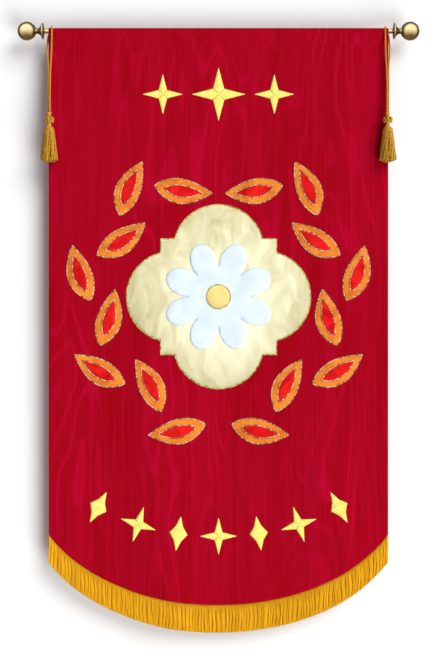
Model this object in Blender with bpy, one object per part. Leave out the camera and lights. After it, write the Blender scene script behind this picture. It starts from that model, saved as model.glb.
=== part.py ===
"""Church banner on its rod.

A red cloth panel hangs from a pocket round a thin brass rod with turned ball finials. Its foot is curved,
with a gold fringe. A twisted cord with a tassel hangs over the rod at each edge. Applied on the cloth are a
gold quatrefoil with a white flower, a wreath of two-layer leaves, and satin-stitched stars and lozenges.

Metres, +Z up. The origin is the middle of the rod's axis, the rod lies along X, and the front faces -Y.
"""

import math

import bmesh
import bpy
from mathutils import Matrix, Vector

# Gaps and thicknesses
CLEAR = 0.0003
LIFT = 0.00035
CLOTH = 0.0015
APPLIED = 0.0010

# Rod and finials. A finial's places are measured outwards from the cloth's edge.
ROD_RADIUS = 0.0065
ROD_SIDES = 24
BARE_ROD = 0.0167
FINIAL_SIDES = 20
FINIAL_SEAT = BARE_ROD + CLEAR
COLLAR_AND_NECK = (
    {"out": FINIAL_SEAT, "radius": 0.0136},
    {"out": 0.0145, "radius": 0.0207},
    {"out": 0.0155, "radius": 0.0220},
    {"out": 0.0175, "radius": 0.0213},
    {"out": 0.0214, "radius": 0.0136},
    {"out": 0.0256, "radius": 0.0088},
    {"out": 0.0299, "radius": 0.0067},
    {"out": 0.0329, "radius": 0.0083},
    {"out": 0.0357, "radius": 0.0080},
)
BALL_OUT = 0.0587
BALL_RADIUS = 0.0252
BALL_RINGS = 8
BALL_FIRST_ANGLE = math.radians(152)
BALL_LAST_ANGLE = math.radians(10)

# Cloth panel
WIDTH = 0.914
LENGTH = 1.5455
POCKET_DEPTH = 0.062
SEAM_WIDTH = 0.005
HEM_HALF_AXIS = 0.5115
HEM_DEPTH = 0.3446
COLUMNS = 30
ROWS = 13
POCKET_ARC_STEPS = 8
FLAP_BACK = 1.5 * CLOTH

# Soft vertical waves of the hanging cloth, which grow from the pocket's seam to the foot
SWELLS = (
    {"height": 0.0034, "length": 0.410, "phase": 0.6},
    {"height": 0.0014, "length": 0.236, "phase": 2.1},
)

# Fringe
FRINGE_DROP = 0.074
HEADING_BEHIND = 0.008
HEADING_BELOW = 0.009
HEADING_THICKNESS = 0.0022
STRANDS = 176
STRAND_INSET = 0.00040
STRAND_THICKENING = 1.7
STRAND_SWAY = 0.00012
STRAND_SWAY_TURN = 2.4

# Tassels and their cords. Places are measured outwards from the cloth's edge, and down from the rod's axis.
TASSEL_OUT = -0.0036
TASSEL_FRONT = -0.0192
TASSEL_SECTORS = 18
SKIRT_TOP = 0.2660
SKIRT_FOOT = 0.3440
SKIRT_BELLY = 0.0080
SKIRT_FLARE = 1.88
SKIRT_FLATNESS = 0.78
TASSEL_HEAD = (
    {"down": 0.2200, "radius": 0.0034},
    {"down": 0.2222, "radius": 0.0056},
    {"down": 0.2262, "radius": 0.0058},
    {"down": 0.2288, "radius": 0.0046},
    {"down": 0.2312, "radius": 0.0098},
    {"down": 0.2350, "radius": 0.0132},
    {"down": 0.2388, "radius": 0.0139},
    {"down": 0.2428, "radius": 0.0131},
    {"down": 0.2462, "radius": 0.0096},
    {"down": 0.2486, "radius": 0.0060},
    {"down": 0.2560, "radius": 0.0082},
    {"down": 0.2600, "radius": 0.0100},
    {"down": 0.2612, "radius": 0.0118},
    {"down": SKIRT_TOP, "radius": 0.0123},
)
SKIRT_RINGS = (0.0123, 0.0080, 0.0034)
SKIRT_INSET = 0.00027
CORD_RADIUS = 0.0025
CORD_TURN = math.radians(45)
CORD_STEP = 0.0042
CORD_SIDES = 4
ROUTE_STEPS = 12
CORD_ROUTE = (
    {"out": -0.0056, "back": -0.0210, "up": -0.2194},
    {"out": -0.0056, "back": -0.0204, "up": -0.2100},
    {"out": -0.0053, "back": -0.0190, "up": -0.1850},
    {"out": -0.0052, "back": -0.0172, "up": -0.1500},
    {"out": -0.0058, "back": -0.0156, "up": -0.1200},
    {"out": -0.0066, "back": -0.0146, "up": -0.0980},
    {"out": -0.0086, "back": -0.0134, "up": -0.0600},
    {"out": -0.0092, "back": -0.0120, "up": -0.0250},
    {"out": -0.0094, "back": -0.0110, "up": -0.0030},
    {"out": -0.0090, "back": -0.0080, "up": 0.0080},
    {"out": -0.0078, "back": 0.0000, "up": 0.0113},
    {"out": -0.0050, "back": 0.0080, "up": 0.0080},
    {"out": -0.0012, "back": 0.0112, "up": -0.0020},
    {"out": 0.0022, "back": 0.0106, "up": -0.0110},
    {"out": 0.0034, "back": 0.0072, "up": -0.0210},
    {"out": 0.0036, "back": 0.0016, "up": -0.0340},
    {"out": 0.0034, "back": -0.0044, "up": -0.0480},
    {"out": 0.0024, "back": -0.0090, "up": -0.0630},
    {"out": 0.0008, "back": -0.0116, "up": -0.0800},
    {"out": -0.0006, "back": -0.0128, "up": -0.0980},
    {"out": -0.0009, "back": -0.0134, "up": -0.1200},
    {"out": -0.0008, "back": -0.0142, "up": -0.1500},
    {"out": -0.0012, "back": -0.0155, "up": -0.1850},
    {"out": -0.0016, "back": -0.0166, "up": -0.2100},
    {"out": -0.0016, "back": -0.0170, "up": -0.2194},
)

# Applied and stitched design
CENTRE_DOWN = 0.715
LOBE_RADIUS = 0.122
LOBE_PLACE = 0.126
BARB_HALF = 0.156
LOBE_STEPS = 12
PETALS = 8
FLOWER_RADIUS = 0.150
PETAL_NOTCH = 0.54
PETAL_FULLNESS = 0.62
PETAL_STEPS = 7
EYE_RADIUS = 0.032
EYE_STEPS = 20
WREATH_RADIUS = 0.345
LEAVES_A_SIDE = 8
FIRST_LEAF = math.radians(-84)
LEAF_SPACING = math.radians(20.6)
LEAF_TILT = math.radians(27)
LEAF_LENGTH = 0.155
LEAF_WIDTH = 0.066
LEAF_BEND = 0.16
LEAF_BELLY_PLACE = 0.85
LEAF_BELLY = 0.90
LEAF_STEPS = 7
HEART_START = 0.17
HEART_END = 0.84
HEART_WIDTH = 0.50
TOP_ROW_DOWN = 0.170
TOP_ROW_SPACING = 0.150
TOP_STAR_SIZES = (0.054, 0.072, 0.054)
STAR_WAIST = 0.30
FOOT_ROW_ABOVE_HEM = 0.186
FOOT_ROW_COUNT = 7
FOOT_ROW_SPACING = 0.108
FOOT_STAR_SIZE = 0.050
LOZENGE_HALF_WIDTH = 0.025
LOZENGE_HALF_HEIGHT = 0.047
LOZENGE_PINCH = 0.82
CUT_ROW = 0.107
CUT_REACH = 0.0002


def material(name, colour, roughness, metallic=0.0):
    """A Principled material with the part's colour."""
    made = bpy.data.materials.new(name)
    made.use_nodes = True
    shader = made.node_tree.nodes["Principled BSDF"]
    shader.inputs["Base Color"].default_value = (*colour, 1.0)
    shader.inputs["Roughness"].default_value = roughness
    shader.inputs["Metallic"].default_value = metallic
    return made


def add_object(name, mesh, finish, location=(0, 0, 0), rotation=(0, 0, 0)):
    """A scene object made from a bmesh, with its faces turned outwards, hung from the banner's empty."""
    bmesh.ops.recalc_face_normals(mesh, faces=mesh.faces[:])
    data = bpy.data.meshes.new(name)
    mesh.to_mesh(data)
    mesh.free()
    data.materials.append(finish)
    made = bpy.data.objects.new(name, data)
    made.location = location
    made.rotation_euler = rotation
    made.parent = bpy.data.objects["banner"]
    bpy.context.scene.collection.objects.link(made)
    return made


def between(low, high, share):
    """The value at that share of the way from low to high."""
    return low + (high - low) * share


def hem(x):
    """Height of the panel's curved foot at x, measured from the rod's axis."""
    return -LENGTH + HEM_DEPTH * (1 - math.sqrt(1 - (x / HEM_HALF_AXIS) ** 2))


def column(number):
    """The x of one of the panel's columns."""
    return between(-WIDTH / 2, WIDTH / 2, number / COLUMNS)


def swell(x):
    """How far the cloth stands back or forward at its foot, in the column at x."""
    return sum(
        wave["height"] * math.sin(2 * math.pi * x / wave["length"] + wave["phase"])
        for wave in SWELLS
    )


def hang(x, z):
    """The y of the cloth's middle at x and z: straight between columns, and flat above the seam."""
    place = (x + WIDTH / 2) / WIDTH * COLUMNS
    first = max(0, min(COLUMNS - 1, math.floor(place)))
    depth = max(0.0, (-z - POCKET_DEPTH) / (LENGTH - POCKET_DEPTH))
    return depth * between(swell(column(first)), swell(column(first + 1)), place - first)


def pocket_line():
    """The middle of the cloth round the rod, from the seam's front to its back, with outward directions."""
    radius = ROD_RADIUS + CLEAR + CLOTH / 2
    touch = math.acos(radius / POCKET_DEPTH)
    arc = []
    for step in range(POCKET_ARC_STEPS + 1):
        angle = between(-touch, -2 * math.pi + touch, step / POCKET_ARC_STEPS) - math.pi / 2
        outward = (math.cos(angle), math.sin(angle))
        arc.append({"y": radius * outward[0], "z": radius * outward[1], "outward": outward})
    halfway = -POCKET_DEPTH / 2
    front = {"y": arc[0]["y"] / 2, "z": halfway, "outward": arc[0]["outward"]}
    back = {"y": (arc[-1]["y"] + CLOTH) / 2, "z": halfway, "outward": arc[-1]["outward"]}
    return [front, *arc, back]


def panel_section(x):
    """The named corners of the panel's upright section at x, as (y, z)."""
    corners = {}
    heights = [-POCKET_DEPTH, -POCKET_DEPTH - SEAM_WIDTH]
    heights += [between(heights[1], hem(x), (row + 1) / ROWS) for row in range(ROWS)]
    for row, z in enumerate(heights):
        y = hang(x, z)
        corners["front", row] = (y - CLOTH / 2, z)
        corners["back", row] = (y + CLOTH / 2, z)
    for step, point in enumerate(pocket_line()):
        for face, side in (("outer", 1), ("inner", -1)):
            corners[face, step] = (
                point["y"] + side * point["outward"][0] * CLOTH / 2,
                point["z"] + side * point["outward"][1] * CLOTH / 2,
            )
    corners["flap", 0] = (FLAP_BACK, heights[0])
    corners["flap", 1] = (hang(x, heights[1]) + FLAP_BACK, heights[1])
    return corners


def panel_cells():
    """The panel's section as four-cornered cells: sheet, pocket round the rod, and flap behind."""
    steps = POCKET_ARC_STEPS + 3
    outer = [("front", 0), *(("outer", step) for step in range(steps)), ("flap", 0)]
    inner = [("back", 0), *(("inner", step) for step in range(steps)), ("back", 0)]
    cells = [
        (("front", row), ("front", row + 1), ("back", row + 1), ("back", row))
        for row in range(ROWS + 1)
    ]
    cells += [(outer[i], outer[i + 1], inner[i + 1], inner[i]) for i in range(len(outer) - 1)]
    cells.append((("flap", 0), ("flap", 1), ("back", 1), ("back", 0)))
    return cells


def outside_edges(cells):
    """The edges of the cells that only one cell has."""
    owners = {}
    for cell in cells:
        for a, b in zip(cell, cell[1:] + cell[:1]):
            owners.setdefault(frozenset((a, b)), []).append((a, b))
    return [found[0] for found in owners.values() if len(found) == 1]


def build_panel(finish):
    """The red cloth: a waved sheet with a curved foot, turned over the rod and sewn down behind."""
    mesh = bmesh.new()
    cells = panel_cells()
    sections = []
    for number in range(COLUMNS + 1):
        x = column(number)
        corners = panel_section(x)
        sections.append({name: mesh.verts.new((x, y, z)) for name, (y, z) in corners.items()})
    for left, right in zip(sections, sections[1:]):
        for a, b in outside_edges(cells):
            mesh.faces.new((left[a], left[b], right[b], right[a]))
    for section in (sections[0], sections[-1]):
        for cell in cells:
            mesh.faces.new([section[name] for name in cell])
    return add_object("panel", mesh, finish)


def build_fringe(finish):
    """The gold fringe: a heading behind the curved hem, with one strand drawn down from each of its cells."""
    mesh = bmesh.new()
    back = CLOTH / 2 + CLEAR
    rings = []
    for cell in range(STRANDS + 1):
        x = between(-WIDTH / 2, WIDTH / 2, cell / STRANDS)
        edge = hem(x)
        y = hang(x, edge) + back
        rings.append(
            [
                mesh.verts.new((x, y + depth, edge + rise))
                for depth, rise in (
                    (0, HEADING_BEHIND),
                    (HEADING_THICKNESS, HEADING_BEHIND),
                    (HEADING_THICKNESS, -HEADING_BELOW),
                    (0, -HEADING_BELOW),
                )
            ]
        )
    undersides = []
    for left, right in zip(rings, rings[1:]):
        for corner in range(4):
            after = (corner + 1) % 4
            face = mesh.faces.new((left[corner], left[after], right[after], right[corner]))
            if corner == 2:
                undersides.append(face)
    mesh.faces.new(rings[0])
    mesh.faces.new(rings[-1])
    bmesh.ops.recalc_face_normals(mesh, faces=mesh.faces[:])
    bmesh.ops.inset_individual(mesh, faces=undersides, thickness=STRAND_INSET, use_even_offset=False)
    for number, face in enumerate(bmesh.ops.extrude_discrete_faces(mesh, faces=undersides)["faces"]):
        middle = face.calc_center_median()
        for vertex in face.verts:
            vertex.co.x += STRAND_SWAY * math.sin(STRAND_SWAY_TURN * number)
            vertex.co.y = middle.y + (vertex.co.y - middle.y) * STRAND_THICKENING
            vertex.co.z -= FRINGE_DROP - HEADING_BELOW
    return add_object("fringe", mesh, finish)


def build_rod(finish):
    """The round rod, from inside one finial's collar to the other's."""
    mesh = bmesh.new()
    bmesh.ops.create_cone(
        mesh,
        cap_ends=True,
        segments=ROD_SIDES,
        radius1=ROD_RADIUS,
        radius2=ROD_RADIUS,
        depth=WIDTH + 2 * BARE_ROD,
    )
    return add_object("rod", mesh, finish, rotation=(0, math.pi / 2, 0))


def turned(profile, sides):
    """A bmesh turned about Z from (height, radius) rows, and closed at both ends."""
    mesh = bmesh.new()
    rings = []
    for height, radius in profile:
        ring = []
        for side in range(sides):
            angle = 2 * math.pi * side / sides
            ring.append(mesh.verts.new((radius * math.cos(angle), radius * math.sin(angle), height)))
        rings.append(ring)
    for first, second in zip(rings, rings[1:]):
        for side in range(sides):
            after = (side + 1) % sides
            mesh.faces.new((first[side], first[after], second[after], second[side]))
    mesh.faces.new(rings[0])
    mesh.faces.new(rings[-1])
    return mesh


def finial_profile():
    """Rows of (distance outwards from the cloth's edge, radius): collar, neck, bead and ball."""
    rows = [(row["out"], row["radius"]) for row in COLLAR_AND_NECK]
    for step in range(BALL_RINGS):
        angle = between(BALL_FIRST_ANGLE, BALL_LAST_ANGLE, step / (BALL_RINGS - 1))
        rows.append((BALL_OUT + BALL_RADIUS * math.cos(angle), BALL_RADIUS * math.sin(angle)))
    return rows


def build_finial(name, side, finish):
    """One turned finial, lying outside the cloth's edge on the side given as -1 or 1."""
    mesh = turned(finial_profile(), FINIAL_SIDES)
    return add_object(name, mesh, finish, (side * WIDTH / 2, 0, 0), (0, side * math.pi / 2, 0))


def build_tassel(name, side, finish):
    """One tassel: bead, knot ball and neck turned in one, with the skirt's strands drawn down from below."""
    profile = [(-row["down"], row["radius"]) for row in TASSEL_HEAD]
    profile += [(-SKIRT_TOP, radius) for radius in SKIRT_RINGS[1:]]
    mesh = turned(profile, TASSEL_SECTORS)
    bmesh.ops.recalc_face_normals(mesh, faces=mesh.faces[:])
    cells = [
        face
        for face in mesh.faces
        if len(face.verts) == 4 and all(abs(vertex.co.z + SKIRT_TOP) < CLEAR for vertex in face.verts)
    ]
    bmesh.ops.inset_individual(mesh, faces=cells, thickness=SKIRT_INSET, use_even_offset=False)
    for face in bmesh.ops.extrude_discrete_faces(mesh, faces=cells)["faces"]:
        reach = face.calc_center_median().xy.length / SKIRT_RINGS[0]
        for vertex in face.verts:
            vertex.co.x *= SKIRT_FLARE
            vertex.co.y *= SKIRT_FLARE * SKIRT_FLATNESS
            vertex.co.z = -SKIRT_FOOT - SKIRT_BELLY * (1 - reach)
    return add_object(name, mesh, finish, (side * (WIDTH / 2 + TASSEL_OUT), TASSEL_FRONT, 0))


def smooth_route(points, step):
    """Points about one step apart along a smooth curve through the route's own points."""
    ends = [2 * points[0] - points[1], *points, 2 * points[-1] - points[-2]]
    fine = []
    for a, b, c, d in zip(ends, ends[1:], ends[2:], ends[3:]):
        for part in range(ROUTE_STEPS):
            t = part / ROUTE_STEPS
            bend = (2 * a - 5 * b + 4 * c - d) * t**2 + (3 * b - a - 3 * c + d) * t**3
            fine.append((2 * b + (c - a) * t + bend) / 2)
    fine.append(points[-1])
    along = [0.0]
    for first, second in zip(fine, fine[1:]):
        along.append(along[-1] + (second - first).length)
    count = round(along[-1] / step)
    spaced = []
    place = 0
    for number in range(count + 1):
        target = along[-1] * number / count
        while place < len(fine) - 2 and along[place + 1] < target:
            place += 1
        share = (target - along[place]) / (along[place + 1] - along[place])
        spaced.append(fine[place].lerp(fine[place + 1], share))
    return spaced


def build_cord(name, side, finish):
    """The twisted cord of one tassel, over the rod and back down to the tassel's bead."""
    route = [
        Vector((side * (WIDTH / 2 + row["out"]), row["back"], row["up"])) for row in CORD_ROUTE
    ]
    line = smooth_route(route, CORD_STEP)
    mesh = bmesh.new()
    across = Vector((1, 0, 0))
    rings = []
    for number, point in enumerate(line):
        ahead = line[min(number + 1, len(line) - 1)] - line[max(number - 1, 0)]
        ahead.normalize()
        across = (across - ahead * across.dot(ahead)).normalized()
        other = ahead.cross(across)
        ring = []
        for corner in range(CORD_SIDES):
            angle = 2 * math.pi * corner / CORD_SIDES + CORD_TURN * number
            ring.append(
                mesh.verts.new(point + CORD_RADIUS * (across * math.cos(angle) + other * math.sin(angle)))
            )
        rings.append(ring)
    for first, second in zip(rings, rings[1:]):
        for corner in range(CORD_SIDES):
            after = (corner + 1) % CORD_SIDES
            mesh.faces.new((first[corner], first[after], second[corner]))
            mesh.faces.new((first[after], second[after], second[corner]))
    mesh.faces.new(rings[0])
    mesh.faces.new(rings[-1])
    return add_object(name, mesh, finish)


def cut_piece(name, outline, layers_below, finish):
    """A flat shape of (x, z) points as a thin piece on the hanging cloth, above that many applied layers."""
    mesh = bmesh.new()
    mesh.faces.new([mesh.verts.new((x, 0, z)) for x, z in outline])
    lines = [((column(number), 0, 0), (1, 0, 0)) for number in range(1, COLUMNS)]
    lines += [((0, 0, -CUT_ROW * number), (0, 0, 1)) for number in range(1, round(LENGTH / CUT_ROW))]
    for place, direction in lines:
        bmesh.ops.bisect_plane(
            mesh,
            geom=mesh.verts[:] + mesh.edges[:] + mesh.faces[:],
            plane_co=place,
            plane_no=direction,
            dist=CUT_REACH,
        )
    under = CLOTH / 2 + LIFT + layers_below * (APPLIED + LIFT)
    raised = bmesh.ops.extrude_face_region(mesh, geom=mesh.faces[:])["geom"]
    fronts = {part for part in raised if isinstance(part, bmesh.types.BMVert)}
    for vertex in mesh.verts:
        x, _, z = vertex.co
        vertex.co.y = hang(x, z) - under - (APPLIED if vertex in fronts else 0)
    return add_object(name, mesh, finish)


def quatrefoil():
    """Four round lobes with a square barb between each two."""
    reach = math.acos((BARB_HALF - LOBE_PLACE) / LOBE_RADIUS)
    points = []
    for quarter in range(4):
        turn = Matrix.Rotation(quarter * math.pi / 2, 2)
        for step in range(LOBE_STEPS + 1):
            angle = between(-reach, reach, step / LOBE_STEPS)
            lobe = Vector((LOBE_PLACE + LOBE_RADIUS * math.cos(angle), LOBE_RADIUS * math.sin(angle)))
            points.append(turn @ lobe)
        points.append(turn @ Vector((BARB_HALF, BARB_HALF)))
    return points


def rosette():
    """The flower's outline: full round petals with a notch between each two."""
    points = []
    for step in range(PETALS * PETAL_STEPS):
        fullness = math.sin(math.pi * (step % PETAL_STEPS) / PETAL_STEPS) ** PETAL_FULLNESS
        radius = FLOWER_RADIUS * between(PETAL_NOTCH, 1.0, fullness)
        angle = 2 * math.pi * step / (PETALS * PETAL_STEPS)
        points.append(Vector((radius * math.cos(angle), radius * math.sin(angle))))
    return points


def circle(radius, steps):
    """A round outline."""
    angles = [2 * math.pi * step / steps for step in range(steps)]
    return [Vector((radius * math.cos(angle), radius * math.sin(angle))) for angle in angles]


def leaf(start, end, width):
    """A pointed leaf with a curved rib, along +X. start and end are shares of the whole leaf's length."""
    shares = [between(start, end, step / LEAF_STEPS) for step in range(LEAF_STEPS + 1)]

    def edge(share, side):
        within = (share - start) / (end - start)
        half = 0.0
        if 0 < within < 1:
            half = width / 2 * math.sin(math.pi * within**LEAF_BELLY_PLACE) ** LEAF_BELLY
        rib = LEAF_BEND * LEAF_LENGTH * share * (1 - share)
        return Vector((LEAF_LENGTH * share, rib + side * half))

    lower = [edge(share, -1) for share in shares]
    upper = [edge(share, 1) for share in shares[1:-1]]
    return lower + upper[::-1]


def leaf_places():
    """Base, direction and bend of each wreath leaf, from the foot up. They lean out and in by turns."""
    places = []
    for word, side in (("left", -1), ("right", 1)):
        for number in range(LEAVES_A_SIDE):
            lean = -1 if number % 2 else 1
            angle = FIRST_LEAF + LEAF_SPACING * number
            places.append(
                {
                    "name": f"{word}_{number + 1}",
                    "side": side,
                    "base": Vector((WREATH_RADIUS * math.cos(angle), WREATH_RADIUS * math.sin(angle))),
                    "heading": angle + math.pi / 2 + LEAF_SPACING / 2 - LEAF_TILT * lean,
                    "bend": -lean,
                }
            )
    return places


def set_leaf(shape, place):
    """A leaf's outline laid at its place in the wreath."""
    turn = Matrix.Rotation(place["heading"], 2)
    laid = [place["base"] + turn @ Vector((point.x, point.y * place["bend"])) for point in shape]
    return [(place["side"] * point.x, point.y - CENTRE_DOWN) for point in laid]


def star(size):
    """A four-pointed star."""
    points = []
    for corner in range(8):
        radius = size if corner % 2 == 0 else size * STAR_WAIST
        angle = math.pi / 4 * corner
        points.append(Vector((radius * math.cos(angle), radius * math.sin(angle))))
    return points


def lozenge():
    """An upright diamond with slightly hollow sides."""
    points = []
    for across, up in ((1, 0), (0, 1), (-1, 0), (0, -1)):
        points.append(Vector((LOZENGE_HALF_WIDTH * across, LOZENGE_HALF_HEIGHT * up)))
        turned_across, turned_up = across - up, across + up
        points.append(
            Vector((LOZENGE_HALF_WIDTH * turned_across, LOZENGE_HALF_HEIGHT * turned_up)) / 2 * LOZENGE_PINCH
        )
    return points


def moved(outline, x, z, turn=0.0):
    """An outline turned, then moved to x and z."""
    rotation = Matrix.Rotation(turn, 2)
    return [(x + point.x, z + point.y) for point in (rotation @ corner for corner in outline)]


def build_medallion(finishes):
    """The quatrefoil with the flower and its eye."""
    cut_piece("medallion", moved(quatrefoil(), 0, -CENTRE_DOWN), 0, finishes["lame"])
    cut_piece("flower", moved(rosette(), 0, -CENTRE_DOWN, math.pi / 2), 1, finishes["satin"])
    cut_piece("flower_eye", moved(circle(EYE_RADIUS, EYE_STEPS), 0, -CENTRE_DOWN), 2, finishes["lame"])


def build_wreath(finishes):
    """The ring of leaves, each an orange leaf with a smaller red one on it."""
    whole = leaf(0.0, 1.0, LEAF_WIDTH)
    heart = leaf(HEART_START, HEART_END, LEAF_WIDTH * HEART_WIDTH)
    for place in leaf_places():
        cut_piece(f"leaf_{place['name']}", set_leaf(whole, place), 0, finishes["orange"])
        cut_piece(f"leaf_heart_{place['name']}", set_leaf(heart, place), 1, finishes["scarlet"])


def build_stitched_rows(finishes):
    """Three stars under the rod, and a row of lozenges and stars that follows the curved foot."""
    for number, size in enumerate(TOP_STAR_SIZES):
        x = TOP_ROW_SPACING * (number - 1)
        cut_piece(f"star_top_{number + 1}", moved(star(size), x, -TOP_ROW_DOWN), 0, finishes["yellow"])
    for number in range(FOOT_ROW_COUNT):
        x = FOOT_ROW_SPACING * (number - (FOOT_ROW_COUNT - 1) / 2)
        slope = (hem(x + CLEAR) - hem(x - CLEAR)) / (2 * CLEAR)
        kind, shape = ("star", star(FOOT_STAR_SIZE)) if number % 2 else ("lozenge", lozenge())
        outline = moved(shape, x, hem(x) + FOOT_ROW_ABOVE_HEM, math.atan(slope))
        cut_piece(f"{kind}_foot_{number + 1}", outline, 0, finishes["yellow"])


def main():
    """Clears the scene and builds the banner, with one object for each piece."""
    for old in list(bpy.data.objects):
        bpy.data.objects.remove(old)
    bpy.context.scene.collection.objects.link(bpy.data.objects.new("banner", None))
    finishes = {
        "red": material("red moire cloth", (0.42, 0.004, 0.017), 0.75),
        "gold": material("gold fringe thread", (0.80, 0.40, 0.03), 0.55),
        "brass": material("antique brass", (0.62, 0.47, 0.22), 0.30, 1.0),
        "lame": material("pale gold lame", (0.86, 0.82, 0.50), 0.38, 0.5),
        "satin": material("white satin", (0.90, 0.95, 1.0), 0.45),
        "orange": material("orange satin", (0.80, 0.23, 0.04), 0.50),
        "scarlet": material("scarlet satin", (0.75, 0.03, 0.02), 0.50),
        "yellow": material("yellow satin stitch", (0.93, 0.80, 0.22), 0.50),
    }
    build_panel(finishes["red"])
    build_fringe(finishes["gold"])
    build_rod(finishes["brass"])
    for word, side in (("left", -1), ("right", 1)):
        build_finial(f"finial_{word}", side, finishes["brass"])
        build_cord(f"cord_{word}", side, finishes["gold"])
        build_tassel(f"tassel_{word}", side, finishes["gold"])
    build_medallion(finishes)
    build_wreath(finishes)
    build_stitched_rows(finishes)


main()
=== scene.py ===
"""Looks of the church banner: cloth, applied design, fringe, cords, tassels and brass, with its studio.

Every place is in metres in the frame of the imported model. The origin is the middle of the rod's axis,
+X runs along the rod, +Z is up, and the front faces -Y. The sizes repeat those of the solids.
"""

from __future__ import annotations

import logging
import math
import random
from collections.abc import Iterable, Sequence
from dataclasses import dataclass
from enum import Enum

import bmesh
import bpy
import numpy as np
from mathutils import Matrix, Vector, noise

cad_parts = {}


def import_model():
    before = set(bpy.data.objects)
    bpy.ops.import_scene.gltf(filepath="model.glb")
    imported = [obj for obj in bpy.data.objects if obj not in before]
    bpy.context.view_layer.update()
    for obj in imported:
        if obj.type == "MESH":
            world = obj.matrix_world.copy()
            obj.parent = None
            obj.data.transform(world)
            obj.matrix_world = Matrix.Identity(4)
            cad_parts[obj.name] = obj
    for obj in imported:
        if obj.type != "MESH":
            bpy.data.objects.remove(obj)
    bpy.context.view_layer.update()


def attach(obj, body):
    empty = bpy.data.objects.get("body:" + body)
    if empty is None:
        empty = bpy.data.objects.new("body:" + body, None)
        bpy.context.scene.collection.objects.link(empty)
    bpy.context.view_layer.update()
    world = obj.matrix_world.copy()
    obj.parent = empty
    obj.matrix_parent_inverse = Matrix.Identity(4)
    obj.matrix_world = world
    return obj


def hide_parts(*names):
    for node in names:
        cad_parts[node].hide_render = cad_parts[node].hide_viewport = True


log = logging.getLogger("church banner")

TURN = 2 * math.pi
SIDES = {"left": -1, "right": 1}


def between(low: float, high: float, share: float) -> float:
    """Gives the value at that share of the way from low to high."""
    return low + (high - low) * share


def eased(share: np.ndarray | float) -> np.ndarray | float:
    """Gives a share from 0 to 1 with a soft start and end."""
    held = np.clip(share, 0.0, 1.0)
    return held * held * (3 - 2 * held)


class Shell:
    """Vertices, faces and shades of one piece, gathered form by form."""

    def __init__(self) -> None:
        """Starts with nothing in it."""
        self.vertices: list[np.ndarray] = []
        self.faces: list[list[int]] = []
        self.shades: list[np.ndarray] = []
        self.count = 0

    def add(
        self, vertices: np.ndarray, faces: Iterable[Sequence[int]], shade: np.ndarray | float = 0.5
    ) -> None:
        """Adds one form.

        Args:
            vertices: Its corners, one row each.
            faces: Its faces, as rows of places in vertices.
            shade: How light it is painted, from 0 to 1, for the whole form or for each corner:
            its own tone together with painted shade and highlights.
        """
        self.vertices.append(vertices)
        self.shades.append(np.full(len(vertices), shade) if np.isscalar(shade) else np.asarray(shade))
        self.faces.extend([corner + self.count for corner in face] for face in faces)
        self.count += len(vertices)

    def add_loft(self, rings: np.ndarray, shade: np.ndarray | float = 0.5) -> None:
        """Adds a closed form drawn over rings, with a face at each end.

        Args:
            rings: An array of rings by corners by 3.
            shade: How light it is painted, for the whole form, for each ring, or for each ring's corners:
            its own tone together with painted shade and highlights.
        """
        count, sides = rings.shape[:2]
        if not np.isscalar(shade):
            shade = np.asarray(shade)
            shade = np.repeat(shade, sides) if shade.ndim == 1 else shade.reshape(-1)
        self.add(rings.reshape(-1, 3), loft_faces(count, sides), shade)

    def piece(self, name: str, finish: "Finish", stands_for: Sequence[str] = ()) -> bpy.types.Object:
        """Makes the object, which rides on the banner's one body.

        Args:
            name: The piece's name.
            finish: What it is made of.
            stands_for: The solids that it replaces.

        Returns:
            The new object.
        """
        mesh = bpy.data.meshes.new(name)
        mesh.from_pydata(np.concatenate(self.vertices).tolist(), [], self.faces)
        shade = mesh.attributes.new("shade", "FLOAT", "POINT")
        shade.data.foreach_set("value", np.concatenate(self.shades).astype(np.float32))
        return set_piece(name, mesh, finish, stands_for)


LOFTS: dict[tuple[int, int], list[list[int]]] = {}


def loft_faces(count: int, sides: int) -> list[list[int]]:
    """Lists the faces of a closed loft, and keeps them for the next one of that size.

    Args:
        count: How many rings it has.
        sides: How many corners a ring has.

    Returns:
        The faces as rows of places.
    """
    if (count, sides) not in LOFTS:
        faces = []
        for ring in range(count - 1):
            for side in range(sides):
                after = (side + 1) % sides
                low, high = ring * sides, (ring + 1) * sides
                faces.append([low + side, low + after, high + after, high + side])
        faces.append(list(range(sides))[::-1])
        faces.append([(count - 1) * sides + side for side in range(sides)])
        LOFTS[count, sides] = faces
    return LOFTS[count, sides]


def set_piece(
    name: str, mesh: bpy.types.Mesh, finish: "Finish", stands_for: Sequence[str] = ()
) -> bpy.types.Object:
    """Makes an object of a mesh, with its faces turned outwards, and hangs it on the banner's body.

    Args:
        name: The piece's name.
        mesh: Its mesh.
        finish: What it is made of.
        stands_for: The solids that it replaces.

    Returns:
        The new object.
    """
    turned = bmesh.new()
    turned.from_mesh(mesh)
    bmesh.ops.recalc_face_normals(turned, faces=turned.faces[:])
    turned.to_mesh(mesh)
    turned.free()
    mesh.shade_smooth()
    mesh.materials.append(finish.material())
    made = bpy.data.objects.new(name, mesh)
    bpy.context.scene.collection.objects.link(made)
    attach(made, "root")
    if stands_for:
        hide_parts(*stands_for)
    log.info("%s: %d faces", name, len(mesh.polygons))
    return made


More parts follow.
